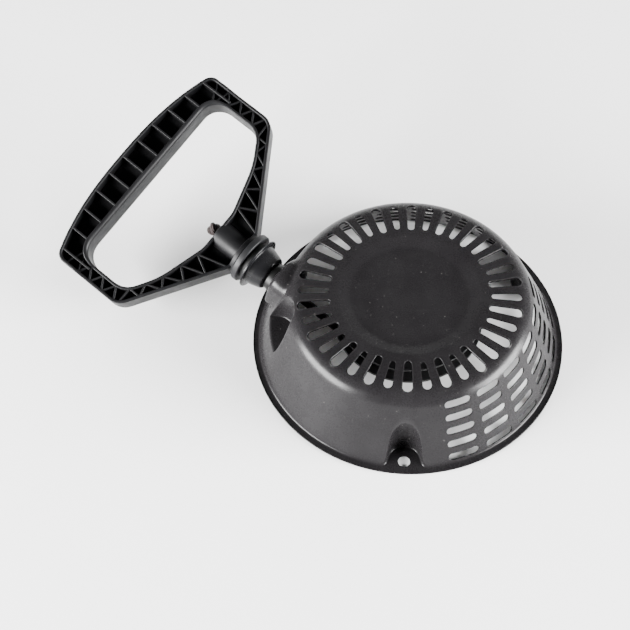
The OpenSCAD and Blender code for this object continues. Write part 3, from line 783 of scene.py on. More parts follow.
        skin.grid(np.stack([self.on(lerp(ca, a, w), lerp(cs, s, w))
                            for w in (lerp(reach, 1, t) for t in np.linspace(0, 1, 6))]), around=True)
        return top

    def recess(self, skin: Skin, low: tuple, left: tuple, right: float, count: int) -> tuple:
        """The round recess beside the nose: a level floor with an upright curved wall.

        Args:
            skin: Where the faces go.
            low: The angles of its two seams at the foot.
            left: The angles of the left seam at the floor and the top.
            right: The angle of the right seam.
            count: Number of pieces in each border side.

        Returns:
            The patch's angles at the foot and at the top.
        """
        rows = self.rows()
        level = self.row_z[2]
        s17, s1 = rows[2 * self.row_steps], rows[-1]
        centre = ROPE_LINE.out([0, 0, 0])[:2] + np.array([self.recess_at]) @ unit(ROPE_LINE.axes()[:2, :2])
        cr, ca = np.linalg.norm(centre), bearing(centre)[0] % 360
        radius = self.recess_r
        front = self.foot_r - (level - self.sheet) * self.tan
        opening = np.degrees(np.arccos((front**2 + cr**2 - radius**2) / (2 * front * cr)))
        seam = rows[2 * self.row_steps:]
        top = np.linspace(left[1], right, count + 1)
        a = np.concatenate([np.interp(seam, [s17, s1], left)[:-1], top[:-1], right + 0 * seam])
        s = np.concatenate([seam[:-1], s1 + 0 * top[:-1], seam[::-1]])
        n = len(a)
        ends = polar(front, ca + opening * np.array([-1, 1]), 0)[:, :2] - centre
        from_a, to_a = bearing(ends) % 360
        start_in = from_a if from_a < 180 else from_a - 360
        turn = np.radians(np.linspace(start_in, -(360 - to_a) if to_a > 180 else to_a, n))
        wall = centre + radius * np.stack([np.cos(turn), np.sin(turn)], -1)
        mouth = polar(front, np.linspace(ca - opening, ca + opening, n), level)
        wr = np.linalg.norm(wall, axis=1)
        wa = bearing(wall) % 360
        h = np.maximum(self.height(wr) - level, 0)
        h[[0, -1]] = 0
        depth = np.linalg.norm(wall - mouth[:, :2], axis=1)
        depth[[0, -1]] = 0
        floor = raised(wall, level)
        floor[[0, -1]] = mouth[[0, -1]]
        ws = self.s_at_r(wr)
        ws[[0, -1]] = s17
        wa[[0, -1]] = ca - opening, ca + opening
        lip = 1.6 * ease(h / 5)
        border = self.on(a, s)
        crest = raised(wall, level + h)
        crest[[0, -1]] = mouth[[0, -1]]
        reach = np.minimum(lip / np.maximum(np.linalg.norm(border - crest, axis=1), 1e-6), 0.5)
        beyond = self.on(lerp(wa, a, reach), lerp(ws, s, reach))
        edge = np.minimum(1.3, depth / 3)
        ma = np.linspace(ca - opening, ca + opening, n)
        under = self.on(ma, s17 - edge)
        side = unit(floor - mouth + 1e-12)
        lip_rows = bezier(under, mouth, mouth + side * edge[:, None], 5)
        start = floor - side * edge[:, None]
        part = bend(start, floor, crest, beyond, np.minimum(1.5, depth / 3 + 0.02), np.maximum(lip, 0.02))
        middle = np.stack([lerp(lip_rows[-1], start, t) for t in np.linspace(0, 1, 5)])
        skin.grid(np.concatenate([lip_rows, middle[1:], part[1:]]))
        steps = np.linspace(0, 1, 5)
        skin.grid(np.stack([self.on(lerp(wa, a, w), lerp(ws, s, w))
                            for w in (lerp(reach, 1, t) for t in steps)]))
        over = np.concatenate([lerp(wa[0], a[0], steps[::-1])[:-1], ma, lerp(wa[-1], a[-1], steps)[1:]])
        drop = np.concatenate([np.zeros(4), edge, np.zeros(4)])
        below = lerp(low[0], low[1], (over - left[0]) / (right - left[0]))
        t = ((rows[:2 * self.row_steps + 1] - rows[0]) / (s17 - rows[0]))[:, None]
        skin.grid(self.on(lerp(below[None], over[None], t), lerp(rows[0], (s17 - drop)[None], t)))
        return below, top

    def flange(self, skin: Skin, inner: Array) -> None:
        """The flat flange with its three holes, and its thin raised rim.

        Args:
            skin: Where the faces go.
            inner: The closed line where the flange meets the fillets, M x 2.
        """
        around = np.linspace(0, 360, 300, endpoint=False)
        rim = np.array(self.rim_line)
        skin.grid(polar(rim[:, :1], around[None], rim[:, 1:]), around=True)
        loops = [polar(rim[0, 0], around, 0)[:, :2], inner]
        turn = np.linspace(0, 360, 36, endpoint=False)
        soft, dip = 0.5, 0.15
        for a in self.mount_angles:
            middle = polar(self.mount_r, a, 0)[None]
            ring = middle + polar(self.hole_r + soft, turn, self.sheet)
            hole = middle + polar(self.hole_r, turn, self.sheet - dip)
            skin.grid(np.stack([ring, hole]), around=True)
            loops.append(ring[:, :2])
        at = np.cumsum([0] + [len(x) for x in loops])
        edges = [(at[k] + i, at[k] + (i + 1) % len(x)) for k, x in enumerate(loops) for i in range(len(x))]
        points = [Vector(p) for p in np.concatenate(loops).tolist()]
        flat, _, tris = delaunay_2d_cdt(points, edges, [], 2, 1e-7)[:3]
        xy = np.array([tuple(p) for p in flat])
        tris = np.array([t for t in tris if len(t) == 3])
        middle = xy[tris].mean(1)
        keep = self.between(middle, loops[0], loops[1:])
        skin.add(raised(xy, self.sheet), tris[keep])

    def between(self, p: Array, outer: Array, inner: list) -> Array:
        """Which points lie inside a closed line and outside the others, by counting crossings."""
        def inside(line: Array) -> Array:
            """Whether each point has an odd number of the line's sides to its right."""
            a, b = line, np.roll(line, -1, 0)
            high = (a[None, :, 1] > p[:, None, 1]) != (b[None, :, 1] > p[:, None, 1])
            rise = b[None, :, 1] - a[None, :, 1]
            share = (p[:, None, 1] - a[None, :, 1]) * (b - a)[None, :, 0]
            x = a[None, :, 0] + share / np.where(rise == 0, 1, rise)
            return (high & (p[:, None, 0] < x)).sum(1) % 2 == 1
        keep = inside(outer)
        for line in inner:
            keep &= ~inside(line)
        return keep

    def build(self, finish: bpy.types.Material) -> bpy.types.Object:
        """Puts the whole cover together, gives the sheet its thickness and rounds its cut edges."""
        skin = Skin()
        self.top(skin)
        nose_left, nose_right = (161.0, 154.0), (177.2, 178.3, 180.7)
        pockets = [Notch(-90, (-104.9, -104.9), (-75.1, -75.1), 11.5, 11.5),
                   Notch(30, (17.9, 17.9), (44.9, 44.9), 9.5, 11.5),
                   Notch(150, (137.9, 137.9), nose_left, 9.5, 3.4)]
        feet, tops = [], []
        for k, notch in enumerate(pockets):
            inner, above = self.pocket(skin, notch)
            feet.append(inner)
            tops.append(above)
            if k < 2:
                angles = self.side_slots(skin, self.group_angles[k])
                feet.append(self.skirt(skin, angles))
                tops.append(angles)
        low = np.linspace(nose_left[0], nose_right[0], 21)
        tops.append(self.nose(skin, (low[0], low[-1]), nose_left, nose_right, 20))
        feet.append(self.skirt(skin, low))
        below, above = self.recess(skin, (nose_right[0], 200.5), nose_right[1:], 200.5, 20)
        feet.append(self.skirt(skin, below))
        tops.append(above)
        rest = np.linspace(200.5, 255.1, 37)
        self.plain(skin, rest, rest, self.rows())
        feet.append(self.skirt(skin, rest))
        tops.append(rest)
        inner = np.concatenate([f[:-1] for f in feet])
        self.flange(skin, inner)
        ring = np.unique(np.round(np.concatenate(tops) % 360, 6))
        skin.zip_rings(self.on(ring, self.s_at_r(self.wall_top_r)),
                       self.on(self.cell_angles(self.cell_out), self.s_at_r(self.ring_r[0])))
        obj = skin.build("housing_shell", np.array([0, 0, 1.0]))
        wall = obj.modifiers.new("sheet", "SOLIDIFY")
        wall.thickness, wall.offset = self.sheet * MM, -1
        wall.use_even_offset = False
        wall.use_quality_normals = True
        finish_edges(obj, 0.22, 55)
        return place(obj, "case", "black_paint", finish, ("housing",))


# ---------------------------------------------------------------- turned and swept pieces
def lathe(skin: Skin, line: PullFrame, corners: list, radii: list, sides: int = 72) -> None:
    """Turns a closed outline with rounded corners about a line.

    Args:
        skin: Where the surface goes.
        line: The frame whose x is the line.
        corners: Distance along the line and radius of each sharp corner.
        radii: Rounding of each corner.
        sides: Number of faces round it.
    """
    ring = rounded_line(np.array(corners, float), radii, 6, closed=True)
    ring = np.concatenate([ring, ring[:1]])
    a = np.linspace(0, 2 * np.pi, sides, endpoint=False)
    s, r = ring[:, :1], ring[:, 1:]
    skin.grid(line.out(np.stack(np.broadcast_arrays(s, r * np.cos(a), r * np.sin(a)), -1)), around=True)


def tube(skin: Skin, path: Array, radius: Array, sides: int, along: Array | None = None,
         closed: bool = False) -> None:
    """A round cord or wire along a path, mapped once round and along its length.

    Args:
        skin: Where the surface goes.
        path: Points of the centre line, N x 3.
        radius: Radius at each point.
        sides: Number of faces round it.
        along: Pattern distance at each point; the path's own length in rope diameters if none.
        closed: Whether the end joins the start.
    """
    if along is None:
        along = lengths(path) / ROPE_D
    p = sweep(path, radius, sides, closed)
    if closed:
        p = np.concatenate([p, p[:1]])
        along = np.append(along, along[-1] + along[1])
    else:
        skin.cap(p[0])
        skin.cap(p[-1])
    p = np.concatenate([p, p[:, :1]], axis=1)
    u = np.linspace(0, 1, sides + 1)
    skin.grid(p, uv=np.stack(np.broadcast_arrays(u[None], along[:, None]), -1))


def bar(skin: Skin, frame_of: PullFrame, a: tuple, b: tuple, thick: float, half: float) -> None:
    """An upright rib from a to b: a block as thick as asked and twice half high."""
    a, b = np.asarray(a, float), np.asarray(b, float)
    ahead = unit(b - a)
    side = np.array([-ahead[1], ahead[0]]) * thick / 2
    base = np.array([a - side, a + side, b + side, b - side])
    low, high = raised(base, -half), raised(base, half)
    faces = np.array([[0, 1, 2, 3], [7, 6, 5, 4], [0, 4, 5, 1], [1, 5, 6, 2], [2, 6, 7, 3], [3, 7, 4, 0]])
    skin.add(frame_of.out(np.concatenate([low, high])), faces)


# ---------------------------------------------------------------- handle
@dataclass
class Handle:
    """The moulded grip: a thin web between two raised rims, ribs across it, and a barrel for the knot."""

    far: float = 127.2
    near: float = 105.5
    bow: float = 9.0
    grip_half: float = 67.8
    half_w: float = 74.8
    corner_x: float = 115.7
    shoulder: float = 66.5
    mouth: tuple = (26.9, 13.7)
    window_half: float = 64.3
    window_x: tuple = (105.5, 69.5, 57.3, 48.0)
    arm_t: float = 14.0
    grip_t: float = 17.0
    web_t: float = 2.5
    rim: float = 2.0
    bays: int = 10
    bore: float = 2.9
    middle: float = 85.0
    rim_round: float = 0.55
    thin_rib: float = 1.2
    cross_rib: float = 1.4

    def crest(self, y: Array) -> Array:
        """How far out the bowed grip reaches at a distance from its middle."""
        return self.far - self.bow * np.abs(y / self.grip_half) ** 2.5

    def outside(self) -> Array:
        """The outer edge: a bowed grip, two straight cheeks and two arms, counter-clockwise."""
        y = np.linspace(-1, 1, 41) * self.grip_half
        grip = np.stack([self.crest(y), y], -1)
        w, (mx, my) = self.half_w, self.mouth
        corners = np.array([grip[-1], (self.corner_x, w), (self.shoulder, w), (mx, my), (mx, -my),
                            (self.shoulder, -w), (self.corner_x, -w), grip[0]])
        rest = rounded_line(corners, [0, 7, 12, 3, 3, 12, 7, 0])
        return np.concatenate([grip, rest[1:-1]])

    def window(self) -> Array:
        """The edge of the finger window, counter-clockwise."""
        h, (x0, x1, x2, x3) = self.window_half, self.window_x
        corners = np.array([(x0, -h), (x0, h), (x1, h), (x2, 0.7 * h), (x3, 0.22 * h), (x3, -0.22 * h),
                            (x2, -0.7 * h), (x1, -h)])
        return rounded_line(corners, [12, 12, 14, 60, 20, 20, 60, 14], closed=True)

    def toward_grip(self, x: Array, start: float, run: float) -> Array:
        """How far a point is from the arms (0) into the grip (1)."""
        return ease((x - start) / run)

    def band(self, skin: Skin, edge: Array, count: int, turn: float, width: tuple, near_round: tuple) -> None:
        """Sweeps an upright band with rounded corners round a closed edge.

        Args:
            skin: Where the surface goes.
            edge: The closed edge, counter-clockwise.
            count: Number of rows round the band.
            turn: 1 where the band lies inside the edge, -1 where it lies outside.
            width: The band's thickness in the arms and in the grip.
            near_round: The rounding of the edge's own side in the arms and in the grip.
        """
        line = resample(np.concatenate([edge, edge[:1]]), count + 1)[:-1]
        ahead = unit(np.roll(line, -1, 0) - np.roll(line, 1, 0))
        inward = np.stack([-ahead[:, 1], ahead[:, 0]], -1) * turn
        g = self.toward_grip(line[:, 0], 96, 8)
        w, near = lerp(*width, g), lerp(*near_round, g)
        half = lerp(self.arm_t, self.grip_t, self.toward_grip(line[:, 0], 93, 10)) / 2
        off = np.full_like(near, self.rim_round)
        columns = []
        for centre_n, centre_z, r, start in ((near, near - half, near, 180), (w - off, off - half, off, 270),
                                             (w - off, half - off, off, 0), (near, half - near, near, 90)):
            for a in np.radians(start + np.linspace(0, 90, 5)):
                n, z = centre_n + r * np.cos(a), centre_z + r * np.sin(a)
                columns.append(raised(line + inward * n[:, None], z))
        p = np.stack(columns, 1)
        skin.grid(HANDLE_PLANE.out(np.concatenate([p, p[:1]])), around=True)

    def on_rays(self, edge: Array, rays: Array) -> Array:
        """Where rays from the middle of the window meet a closed edge."""
        middle = np.array([self.middle, 0])
        fine = resample(np.concatenate([edge, edge[:1]]), 2000) - middle
        a, r = np.arctan2(fine[:, 1], fine[:, 0]) % (2 * np.pi), np.linalg.norm(fine, axis=1)
        order = np.argsort(a)
        reach = np.interp(rays % (2 * np.pi), a[order], r[order], period=2 * np.pi)
        return middle + reach[:, None] * np.stack([np.cos(rays), np.sin(rays)], -1)

    def held(self, x: float, y: float, outer: bool) -> tuple:
        """A rib's end moved along its ray until it stands in the middle of a rim."""
        ray = np.arctan2(y, x - self.middle)
        edge = self.outside() if outer else self.window()
        inset = np.array([np.cos(ray), np.sin(ray)]) * (-1.2 if outer else 1.2)
        return tuple(self.on_rays(edge, np.array([ray]))[0] + inset)

    def web(self, skin: Skin) -> None:
        """The thin plate between the rims, matched ray by ray about the middle of the window."""
        rays = np.radians(np.linspace(0, 360, 361))[:-1]
        loops = [self.on_rays(edge, rays) for edge in (self.window(), self.outside())]
        rows = [raised(lerp(*loops, t), z * self.web_t / 2)
                for t, z in ((0.06, 1), (0.5, 1), (0.94, 1), (0.94, -1), (0.5, -1), (0.06, -1), (0.06, 1))]
        skin.grid(HANDLE_PLANE.out(np.stack(rows)), around=True)

    def ribs(self, skin: Skin) -> None:
        """Straight ribs across the grip and zigzag ribs in the cheeks and arms."""
        thin, half = self.thin_rib, self.arm_t / 2 - 0.5
        for i in range(self.bays + 1):
            y = (i / self.bays - 0.5) * 2 * self.grip_half
            x_far = self.crest(y) - 1
            x_near = self.near + 2 if abs(y) < self.window_half else self.near - 11
            bar(skin, HANDLE_PLANE, (x_near, y), (x_far, y), self.cross_rib, self.grip_t / 2 - 0.35)
        (mx, my), w = self.mouth, self.half_w
        for side in (-1, 1):
            for i in range(4):
                x = self.far - 17 - 10 * i
                points = [self.held(x, side * w, True), self.held(x - 5, side * self.window_half, False),
                          self.held(x - 10, side * w, True)]
                bar(skin, HANDLE_PLANE, points[0], points[1], thin, half)
                bar(skin, HANDLE_PLANE, points[1], points[2], thin, half)
            for i in range(5):
                ends = [self.held(lerp(self.shoulder, mx, t), side * lerp(w, my, t), True)
                        for t in (i / 5, (i + 1) / 5)]
                t = (i + 0.5) / 5
                inner = self.held(70.5 - 21.5 * t, side * (self.window_half - 2) * (1 - 0.8 * t), False)
                bar(skin, HANDLE_PLANE, ends[0], inner, thin, half)
                bar(skin, HANDLE_PLANE, inner, ends[1], thin, half)

    def build(self, finish: bpy.types.Material) -> bpy.types.Object:
        """Makes the handle and rounds the edges of its ribs."""
        skin = Skin()
        self.band(skin, self.outside(), 420, 1, (self.rim, self.rim), (self.rim_round, 0.8))
        self.band(skin, self.window(), 340, -1, (self.rim, 3.2), (0.7, 2.6))
        self.web(skin)
        self.ribs(skin)
        lathe(skin, HANDLE_PLANE, [(26.9, self.bore), (26.9, 8.6), (48, 8.6), (48, self.bore)],
              [0.1, 0.1, 1.2, 0.5])
        lathe(skin, HANDLE_PLANE, [(25.1, self.bore), (25.1, 14), (28.4, 14), (28.4, self.bore)],
              [0.1, 0.8, 0.8, 0.1])
        obj = skin.build("handle_body", HANDLE_PLANE.axes()[0], merge=0.001)
        finish_edges(obj, 0.3, 50)
        return place(obj, "grip", "grip_plastic", finish, ("handle",))


# ---------------------------------------------------------------- stack on the rope
@dataclass
class Turned:
    """A round moulding on the rope line: its outline as distance and radius, and its roundings."""

    name: str
    node: str
    body: str
    slot: str
    corners: list
    radii: list

    def build(self, finish: bpy.types.Material) -> bpy.types.Object:
        """Turns the outline about the rope."""
        skin = Skin()
        lathe(skin, ROPE_LINE, self.corners, self.radii)
        obj = skin.build(self.name, ROPE_LINE.axes()[0])
        return place(obj, self.body, self.slot, finish, (self.node,))


STACK = (
    Turned("eyelet", "rope_guide", "case", "guide_plastic",
           [(-2.7, 3.2), (-5.2, 5.6), (-5.2, 9), (-1.2, 9), (-1.2, 7), (0, 7), (0, 9.6), (5.3, 8.8),
            (5.3, 5.4), (2.9, 3.2)], [1, 0.8, 0.5, 0.1, 0.1, 0.1, 0.3, 1.2, 0.8, 1]),
    Turned("cup_shell", "cup", "rope_end", "cup_plastic",
           [(5.35, 2.8), (5.35, 10.6), (12.35, 12.8), (16.2, 13.4), (16.2, 16.85), (17.2, 16.85), (17.2, 11),
            (8.85, 8.85), (8.85, 2.8)], [0.1, 2.2, 6, 0.8, 0.4, 0.4, 0.3, 0.6, 0.1]),
    Turned("damper_block", "damper", "rope_end", "rubber",
           [(8.95, 2.8), (8.95, 8.55), (17.2, 10.6), (17.2, 13.1), (20.8, 13.1), (20.8, 2.8)],
           [0.1, 0.5, 0.1, 0.4, 0.6, 0.1]),
    Turned("collar_ring", "collar", "rope_end", "collar_plastic",
           [(20.8, 2.8), (20.8, 16.5), (24.8, 16.5), (24.8, 2.8)], [0.1, 0.8, 0.8, 0.1]),
)


# ---------------------------------------------------------------- rope
@dataclass
class Rope:
    """The starter rope: turns on the reel, a knot at each end and the run out to the handle."""

    radius: float = 2.46
    first_r: float = 31.6
    layer: float = 5.0
    low_z: float = 22.9
    knot_at: float = 150.0
    turns: float = 3.778
    stroke: float = 800.0
    start: tuple = (-39.37, -14.62, 24.2)
    bend_back: float = 18.0
    knot_s: float = 48.3
    knot_l: float = 7.5
    knot_wide: float = 0.93
    knot_deep: float = 2.0
    strand: float = 1.72
    held_s: float = -5.0
    free_s: float = 5.2

    def winding(self, finish: bpy.types.Material) -> bpy.types.Object:
        """Turns side by side, then a second layer: each turn steps over just before it closes."""
        p = np.linspace(0, self.turns, 340)
        step = np.floor(p) + ease((p - np.floor(p) - 0.88) / 0.12)
        r = self.first_r + self.layer * np.interp(step, [0, 1, 2, 3], [0, 0, 1, 1])
        z = self.low_z + self.layer * np.interp(step, [0, 1, 2, 3], [0, 1, 1, 0])
        skin = Skin()
        tube(skin, polar(r, self.knot_at - 360 * p, z), np.full(len(p), self.radius), ROPE_SIDES)
        obj = skin.build("rope_turns", np.array([0, 0, 1.0]))
        return place(obj, "reel_body", "rope", finish, ("rope_winding",))

    def knot(self, skin: Skin, centre: Array, axis: Array) -> None:
        """An overhand knot pulled tight: a trefoil squeezed until its strands touch."""
        t = np.linspace(0, 2 * np.pi, 120, endpoint=False)
        side = unit(np.cross(axis, [0, 0, 1.0]))
        out = self.knot_wide * (2 + np.cos(3 * t))
        local = np.stack([out * np.cos(2 * t), out * np.sin(2 * t), self.knot_deep * np.sin(3 * t)], -1)
        path = centre + local @ np.stack([side, np.cross(axis, side), axis])
        tube(skin, path, np.full(len(t), self.strand), ROPE_SIDES, closed=True)

    def reel_end(self, finish: bpy.types.Material) -> bpy.types.Object:
        """The knot behind the drum wall, with the short end that goes through it."""
        axis = polar(1.0, self.knot_at, 0.0)
        skin = Skin()
        self.knot(skin, axis * 22.55 + [0, 0, self.low_z], axis)
        s = np.linspace(25.2, 29, 6)
        tube(skin, s[:, None] * axis + [0, 0, self.low_z], np.full(len(s), self.radius), ROPE_SIDES)
        obj = skin.build("reel_end_knot", axis)
        return place(obj, "reel_body", "rope", finish, ("reel_knot",))

    def handle_end(self, finish: bpy.types.Material) -> bpy.types.Object:
        """The knot that holds the handle."""
        axis = ROPE_LINE.axes()[0]
        skin = Skin()
        self.knot(skin, ROPE_LINE.out([self.knot_s + self.knot_l / 2, 0, 0]), axis)
        obj = skin.build("handle_end_knot", axis)
        return place(obj, "rope_end", "rope", finish, ("handle_knot",))

    def lead(self, finish: bpy.types.Material) -> bpy.types.Object:
        """The run from the reel to the handle.

        The part inside the outlet has many rows, spaced so that they are even when the
        handle is pulled right out, and the braid is mapped by that pulled length.
        """
        t = np.linspace(0, 1, 22)[:-1, None]
        a, k, b = np.array(self.start), *(ROPE_LINE.out([v, 0, 0]) for v in (-self.bend_back, self.held_s))
        curve = (1 - t) ** 2 * a + 2 * t * (1 - t) * k + t * t * b
        share = np.linspace(0, 1, 161)
        x = np.linspace(0, 1, 2001)
        place_of = self.held_s + (self.free_s - self.held_s) * np.interp(share, ease(x), x)
        rest = np.linspace(self.free_s, self.knot_s, 30)[1:]
        s = np.concatenate([place_of, rest])
        straight = ROPE_LINE.out(np.stack([s, 0 * s, 0 * s], -1))
        path = np.concatenate([curve, straight])
        pulled = np.concatenate([np.zeros(len(curve)), share, np.ones(len(rest))]) * self.stroke
        skin = Skin()
        tube(skin, path, np.full(len(path), self.radius), ROPE_SIDES, (lengths(path) + pulled) / ROPE_D)
        obj = skin.build("rope_run", ROPE_LINE.axes()[0], merge=0.001)
        obj.data.materials.append(finish)
        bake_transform(obj)
        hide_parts("rope_lead")
        LOG.info("%s: %d faces, from the case to the rope's end", obj.name, len(obj.data.polygons))
        return obj


# ---------------------------------------------------------------- springs
@dataclass
class Springs:
    """The flat recoil spring, the two pawl springs and the friction spring."""

    strip: float = 0.7
    inner_r: float = 9.2
    outer_r: float = 34.4
    low_z: float = 33.0
    high_z: float = 41.0
    turns: int = 12

    def recoil(self, finish: bpy.types.Material) -> bpy.types.Object:
        """A steel strip with rounded edges wound in a spiral, its inner end hooked into the post."""
        t = np.linspace(0, 1, self.turns * 40 + 1)
        r = lerp(self.inner_r, self.outer_r, t)
        line = polar(r + self.strip / 2, -360 * self.turns * t, 0.0)[:, :2]
        hook = np.array([(6.6, 0.35), (7.4, 0.35), (8.4, 0.3)])
        line = np.concatenate([hook, line])
        ahead = unit(np.gradient(line, axis=0))
        side = np.stack([-ahead[:, 1], ahead[:, 0]], -1)
        mid, half, edge = (self.low_z + self.high_z) / 2, (self.high_z - self.low_z) / 2, self.strip / 2
        section = [(edge, half - 0.2), (edge * 0.6, half), (-edge * 0.6, half), (-edge, half - 0.2),
                   (-edge, 0.2 - half), (-edge * 0.6, -half), (edge * 0.6, -half), (edge, 0.2 - half)]
        p = np.stack([raised(line + side * n, mid + z) for n, z in section], 1)
        skin = Skin()
        skin.grid(p, around=True)
        skin.cap(p[0])
        skin.cap(p[-1])
        obj = skin.build("recoil_spring_strip", np.array([0, 0, 1.0]))
        return place(obj, "case", "spring_steel", finish, ("recoil_spring",))

    def coil(self, name: str, node: str, body: str, centre: tuple, radius: float, heights: tuple,
             turns: float, wire: float, leg: float, finish: bpy.types.Material) -> bpy.types.Object:
        """A wire coil, with its ends turned outwards by leg."""
        t = np.linspace(0, 1, int(turns * 28))
        a = 360 * turns * t
        flick = leg * (ease(1 - t * 14) + ease((t - 1) * 14 + 1))
        path = np.array([*centre, 0]) + polar(radius + flick, a, lerp(*heights, t))
        skin = Skin()
        tube(skin, path, np.full(len(t), wire), 10)
        obj = skin.build(name, np.array([0, 0, 1.0]))
        return place(obj, body, "spring_steel", finish, (node,))

    def build(self, finish: bpy.types.Material) -> None:
        """Makes all four springs."""
        self.recoil(finish)
        for k, angle in enumerate((60.0, 240.0)):
            centre = tuple(polar(19.5, angle, 0.0)[:2])
            self.coil(f"pawl_spring_coil_{k + 1}", f"pawl_spring_{k + 1}", "reel_body", centre, 5.3,
                      (15.2, 17.3), 1.9, 0.45, 0.7, finish)
        self.coil("friction_coil", "friction_spring", "case", (0.0, 0.0), 6.45, (9.6, 14.3), 2.6, 0.55, 0.0,
                  finish)


# ---------------------------------------------------------------- solid drive parts
@dataclass(frozen=True)
class Solid:
    """A machined or moulded part that keeps its engineered shape and gets softened edges."""

    node: str
    body: str
    slot: str
    edge: float

    def build(self, finish: bpy.types.Material) -> bpy.types.Object:
        """Copies the solid's surface, joins its flat faces and rounds its edges."""
        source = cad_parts[self.node]
        mesh = source.data.copy()
        mesh.transform(source.matrix_world)
        bm = bmesh.new()
        bm.from_mesh(mesh)
        bmesh.ops.remove_doubles(bm, verts=bm.verts, dist=0.002 * MM)
        bmesh.ops.dissolve_limit(bm, angle_limit=np.radians(0.5), verts=bm.verts, edges=bm.edges)
        bm.to_mesh(mesh)
        bm.free()
        mesh.polygons.foreach_set("use_smooth", np.ones(len(mesh.polygons), bool))
        obj = stand(f"{self.node}_part", mesh)
        finish_edges(obj, self.edge, 35)
        return place(obj, self.body, self.slot, finish, (self.node,))


DRIVE = (
    Solid("reel", "reel_body", "reel_plastic", 0.3),
    Solid("reel_post", "case", "plated_steel", 0.25),
    Solid("centre_bolt", "case", "plated_steel", 0.35),
    Solid("reel_washer", "case", "plated_steel", 0.2),
    Solid("pawl_1", "pawl_a", "pawl_steel", 0.4),
    Solid("pawl_2", "pawl_b", "pawl_steel", 0.4),
    Solid("ratchet_guide", "guide", "plated_steel", 0.25),
)


# ---------------------------------------------------------------- finishes
class Nodes:
    """A short hand for building one node-based material."""

    def __init__(self, name: str) -> None:
        """Starts a material with a fresh principled shader."""
        self.material = bpy.data.materials.new(name)
        self.material.use_nodes = True
        self.tree = self.material.node_tree
        self.tree.nodes.clear()
        self.shader = self.new("ShaderNodeBsdfPrincipled")
        out = self.new("ShaderNodeOutputMaterial")
        self.link(self.shader.outputs["BSDF"], out.inputs["Surface"])
        self.place = self.new("ShaderNodeTexCoord").outputs["Object"]
        self.bump: bpy.types.NodeSocket | None = None

    def new(self, kind: str, **settings: object) -> bpy.types.Node:
        """Adds a node and sets its properties and its inputs by name."""
        node = self.tree.nodes.new(kind)
        for key, value in settings.items():
            if key in node.bl_rna.properties:
                setattr(node, key, value)
            else:
                node.inputs[key.replace("_", " ")].default_value = value
        return node

    def link(self, a: bpy.types.NodeSocket, b: bpy.types.NodeSocket) -> None:
        """Joins two sockets."""
        self.tree.links.new(a, b)

    def noise(self, size: float, detail: float = 3, stretch: tuple = (1, 1, 1), rough: float = 0.55,
              at: bpy.types.NodeSocket | None = None) -> bpy.types.NodeSocket:
        """Cloudy values whose blots are about size metres across, stretched along an axis."""
        mapping = self.new("ShaderNodeMapping", Scale=stretch)
        self.link(at or self.place, mapping.inputs["Vector"])
        node = self.new("ShaderNodeTexNoise", Scale=1 / size, Detail=detail, Roughness=rough)
        self.link(mapping.outputs["Vector"], node.inputs["Vector"])
        return node.outputs["Fac"]

    def span(self, value: bpy.types.NodeSocket, low: float, high: float, to_low: float,
             to_high: float) -> bpy.types.NodeSocket:
        """Maps a value's range low to high onto another, and clamps it."""
        node = self.new("ShaderNodeMapRange", From_Min=low, From_Max=high, To_Min=to_low, To_Max=to_high)
        self.link(value, node.inputs["Value"])
        return node.outputs["Result"]

    def math(self, operation: str, a: object, b: object = 0.0) -> bpy.types.NodeSocket:
        """One arithmetic step on sockets or numbers."""
        node = self.new("ShaderNodeMath", operation=operation)
        for socket, value in zip(node.inputs, (a, b)):
            if isinstance(value, bpy.types.NodeSocket):
                self.link(value, socket)
            else:
                socket.default_value = value
        return node.outputs["Value"]

    def mix(self, value: bpy.types.NodeSocket, dark: tuple, light: tuple) -> bpy.types.NodeSocket:
        """A colour between dark and light."""
        node = self.new("ShaderNodeMix", data_type="RGBA")
        self.link(value, node.inputs[0])
        node.inputs[6].default_value = (*dark, 1)
        node.inputs[7].default_value = (*light, 1)
        return node.outputs[2]

    def relief(self, height: bpy.types.NodeSocket, depth: float, strength: float = 1.0) -> None:
        """Adds a height, depth metres at most, to the surface's bumps."""
        node = self.new("ShaderNodeBump", Strength=strength, Distance=depth)
        self.link(height, node.inputs["Height"])
        if self.bump is not None:
            self.link(self.bump, node.inputs["Normal"])
        self.bump = node.outputs["Normal"]

    def done(self) -> bpy.types.Material:
        """Joins the bumps to the shader and hands over the material."""
        if self.bump is not None:
            self.link(self.bump, self.shader.inputs["Normal"])
        return self.material


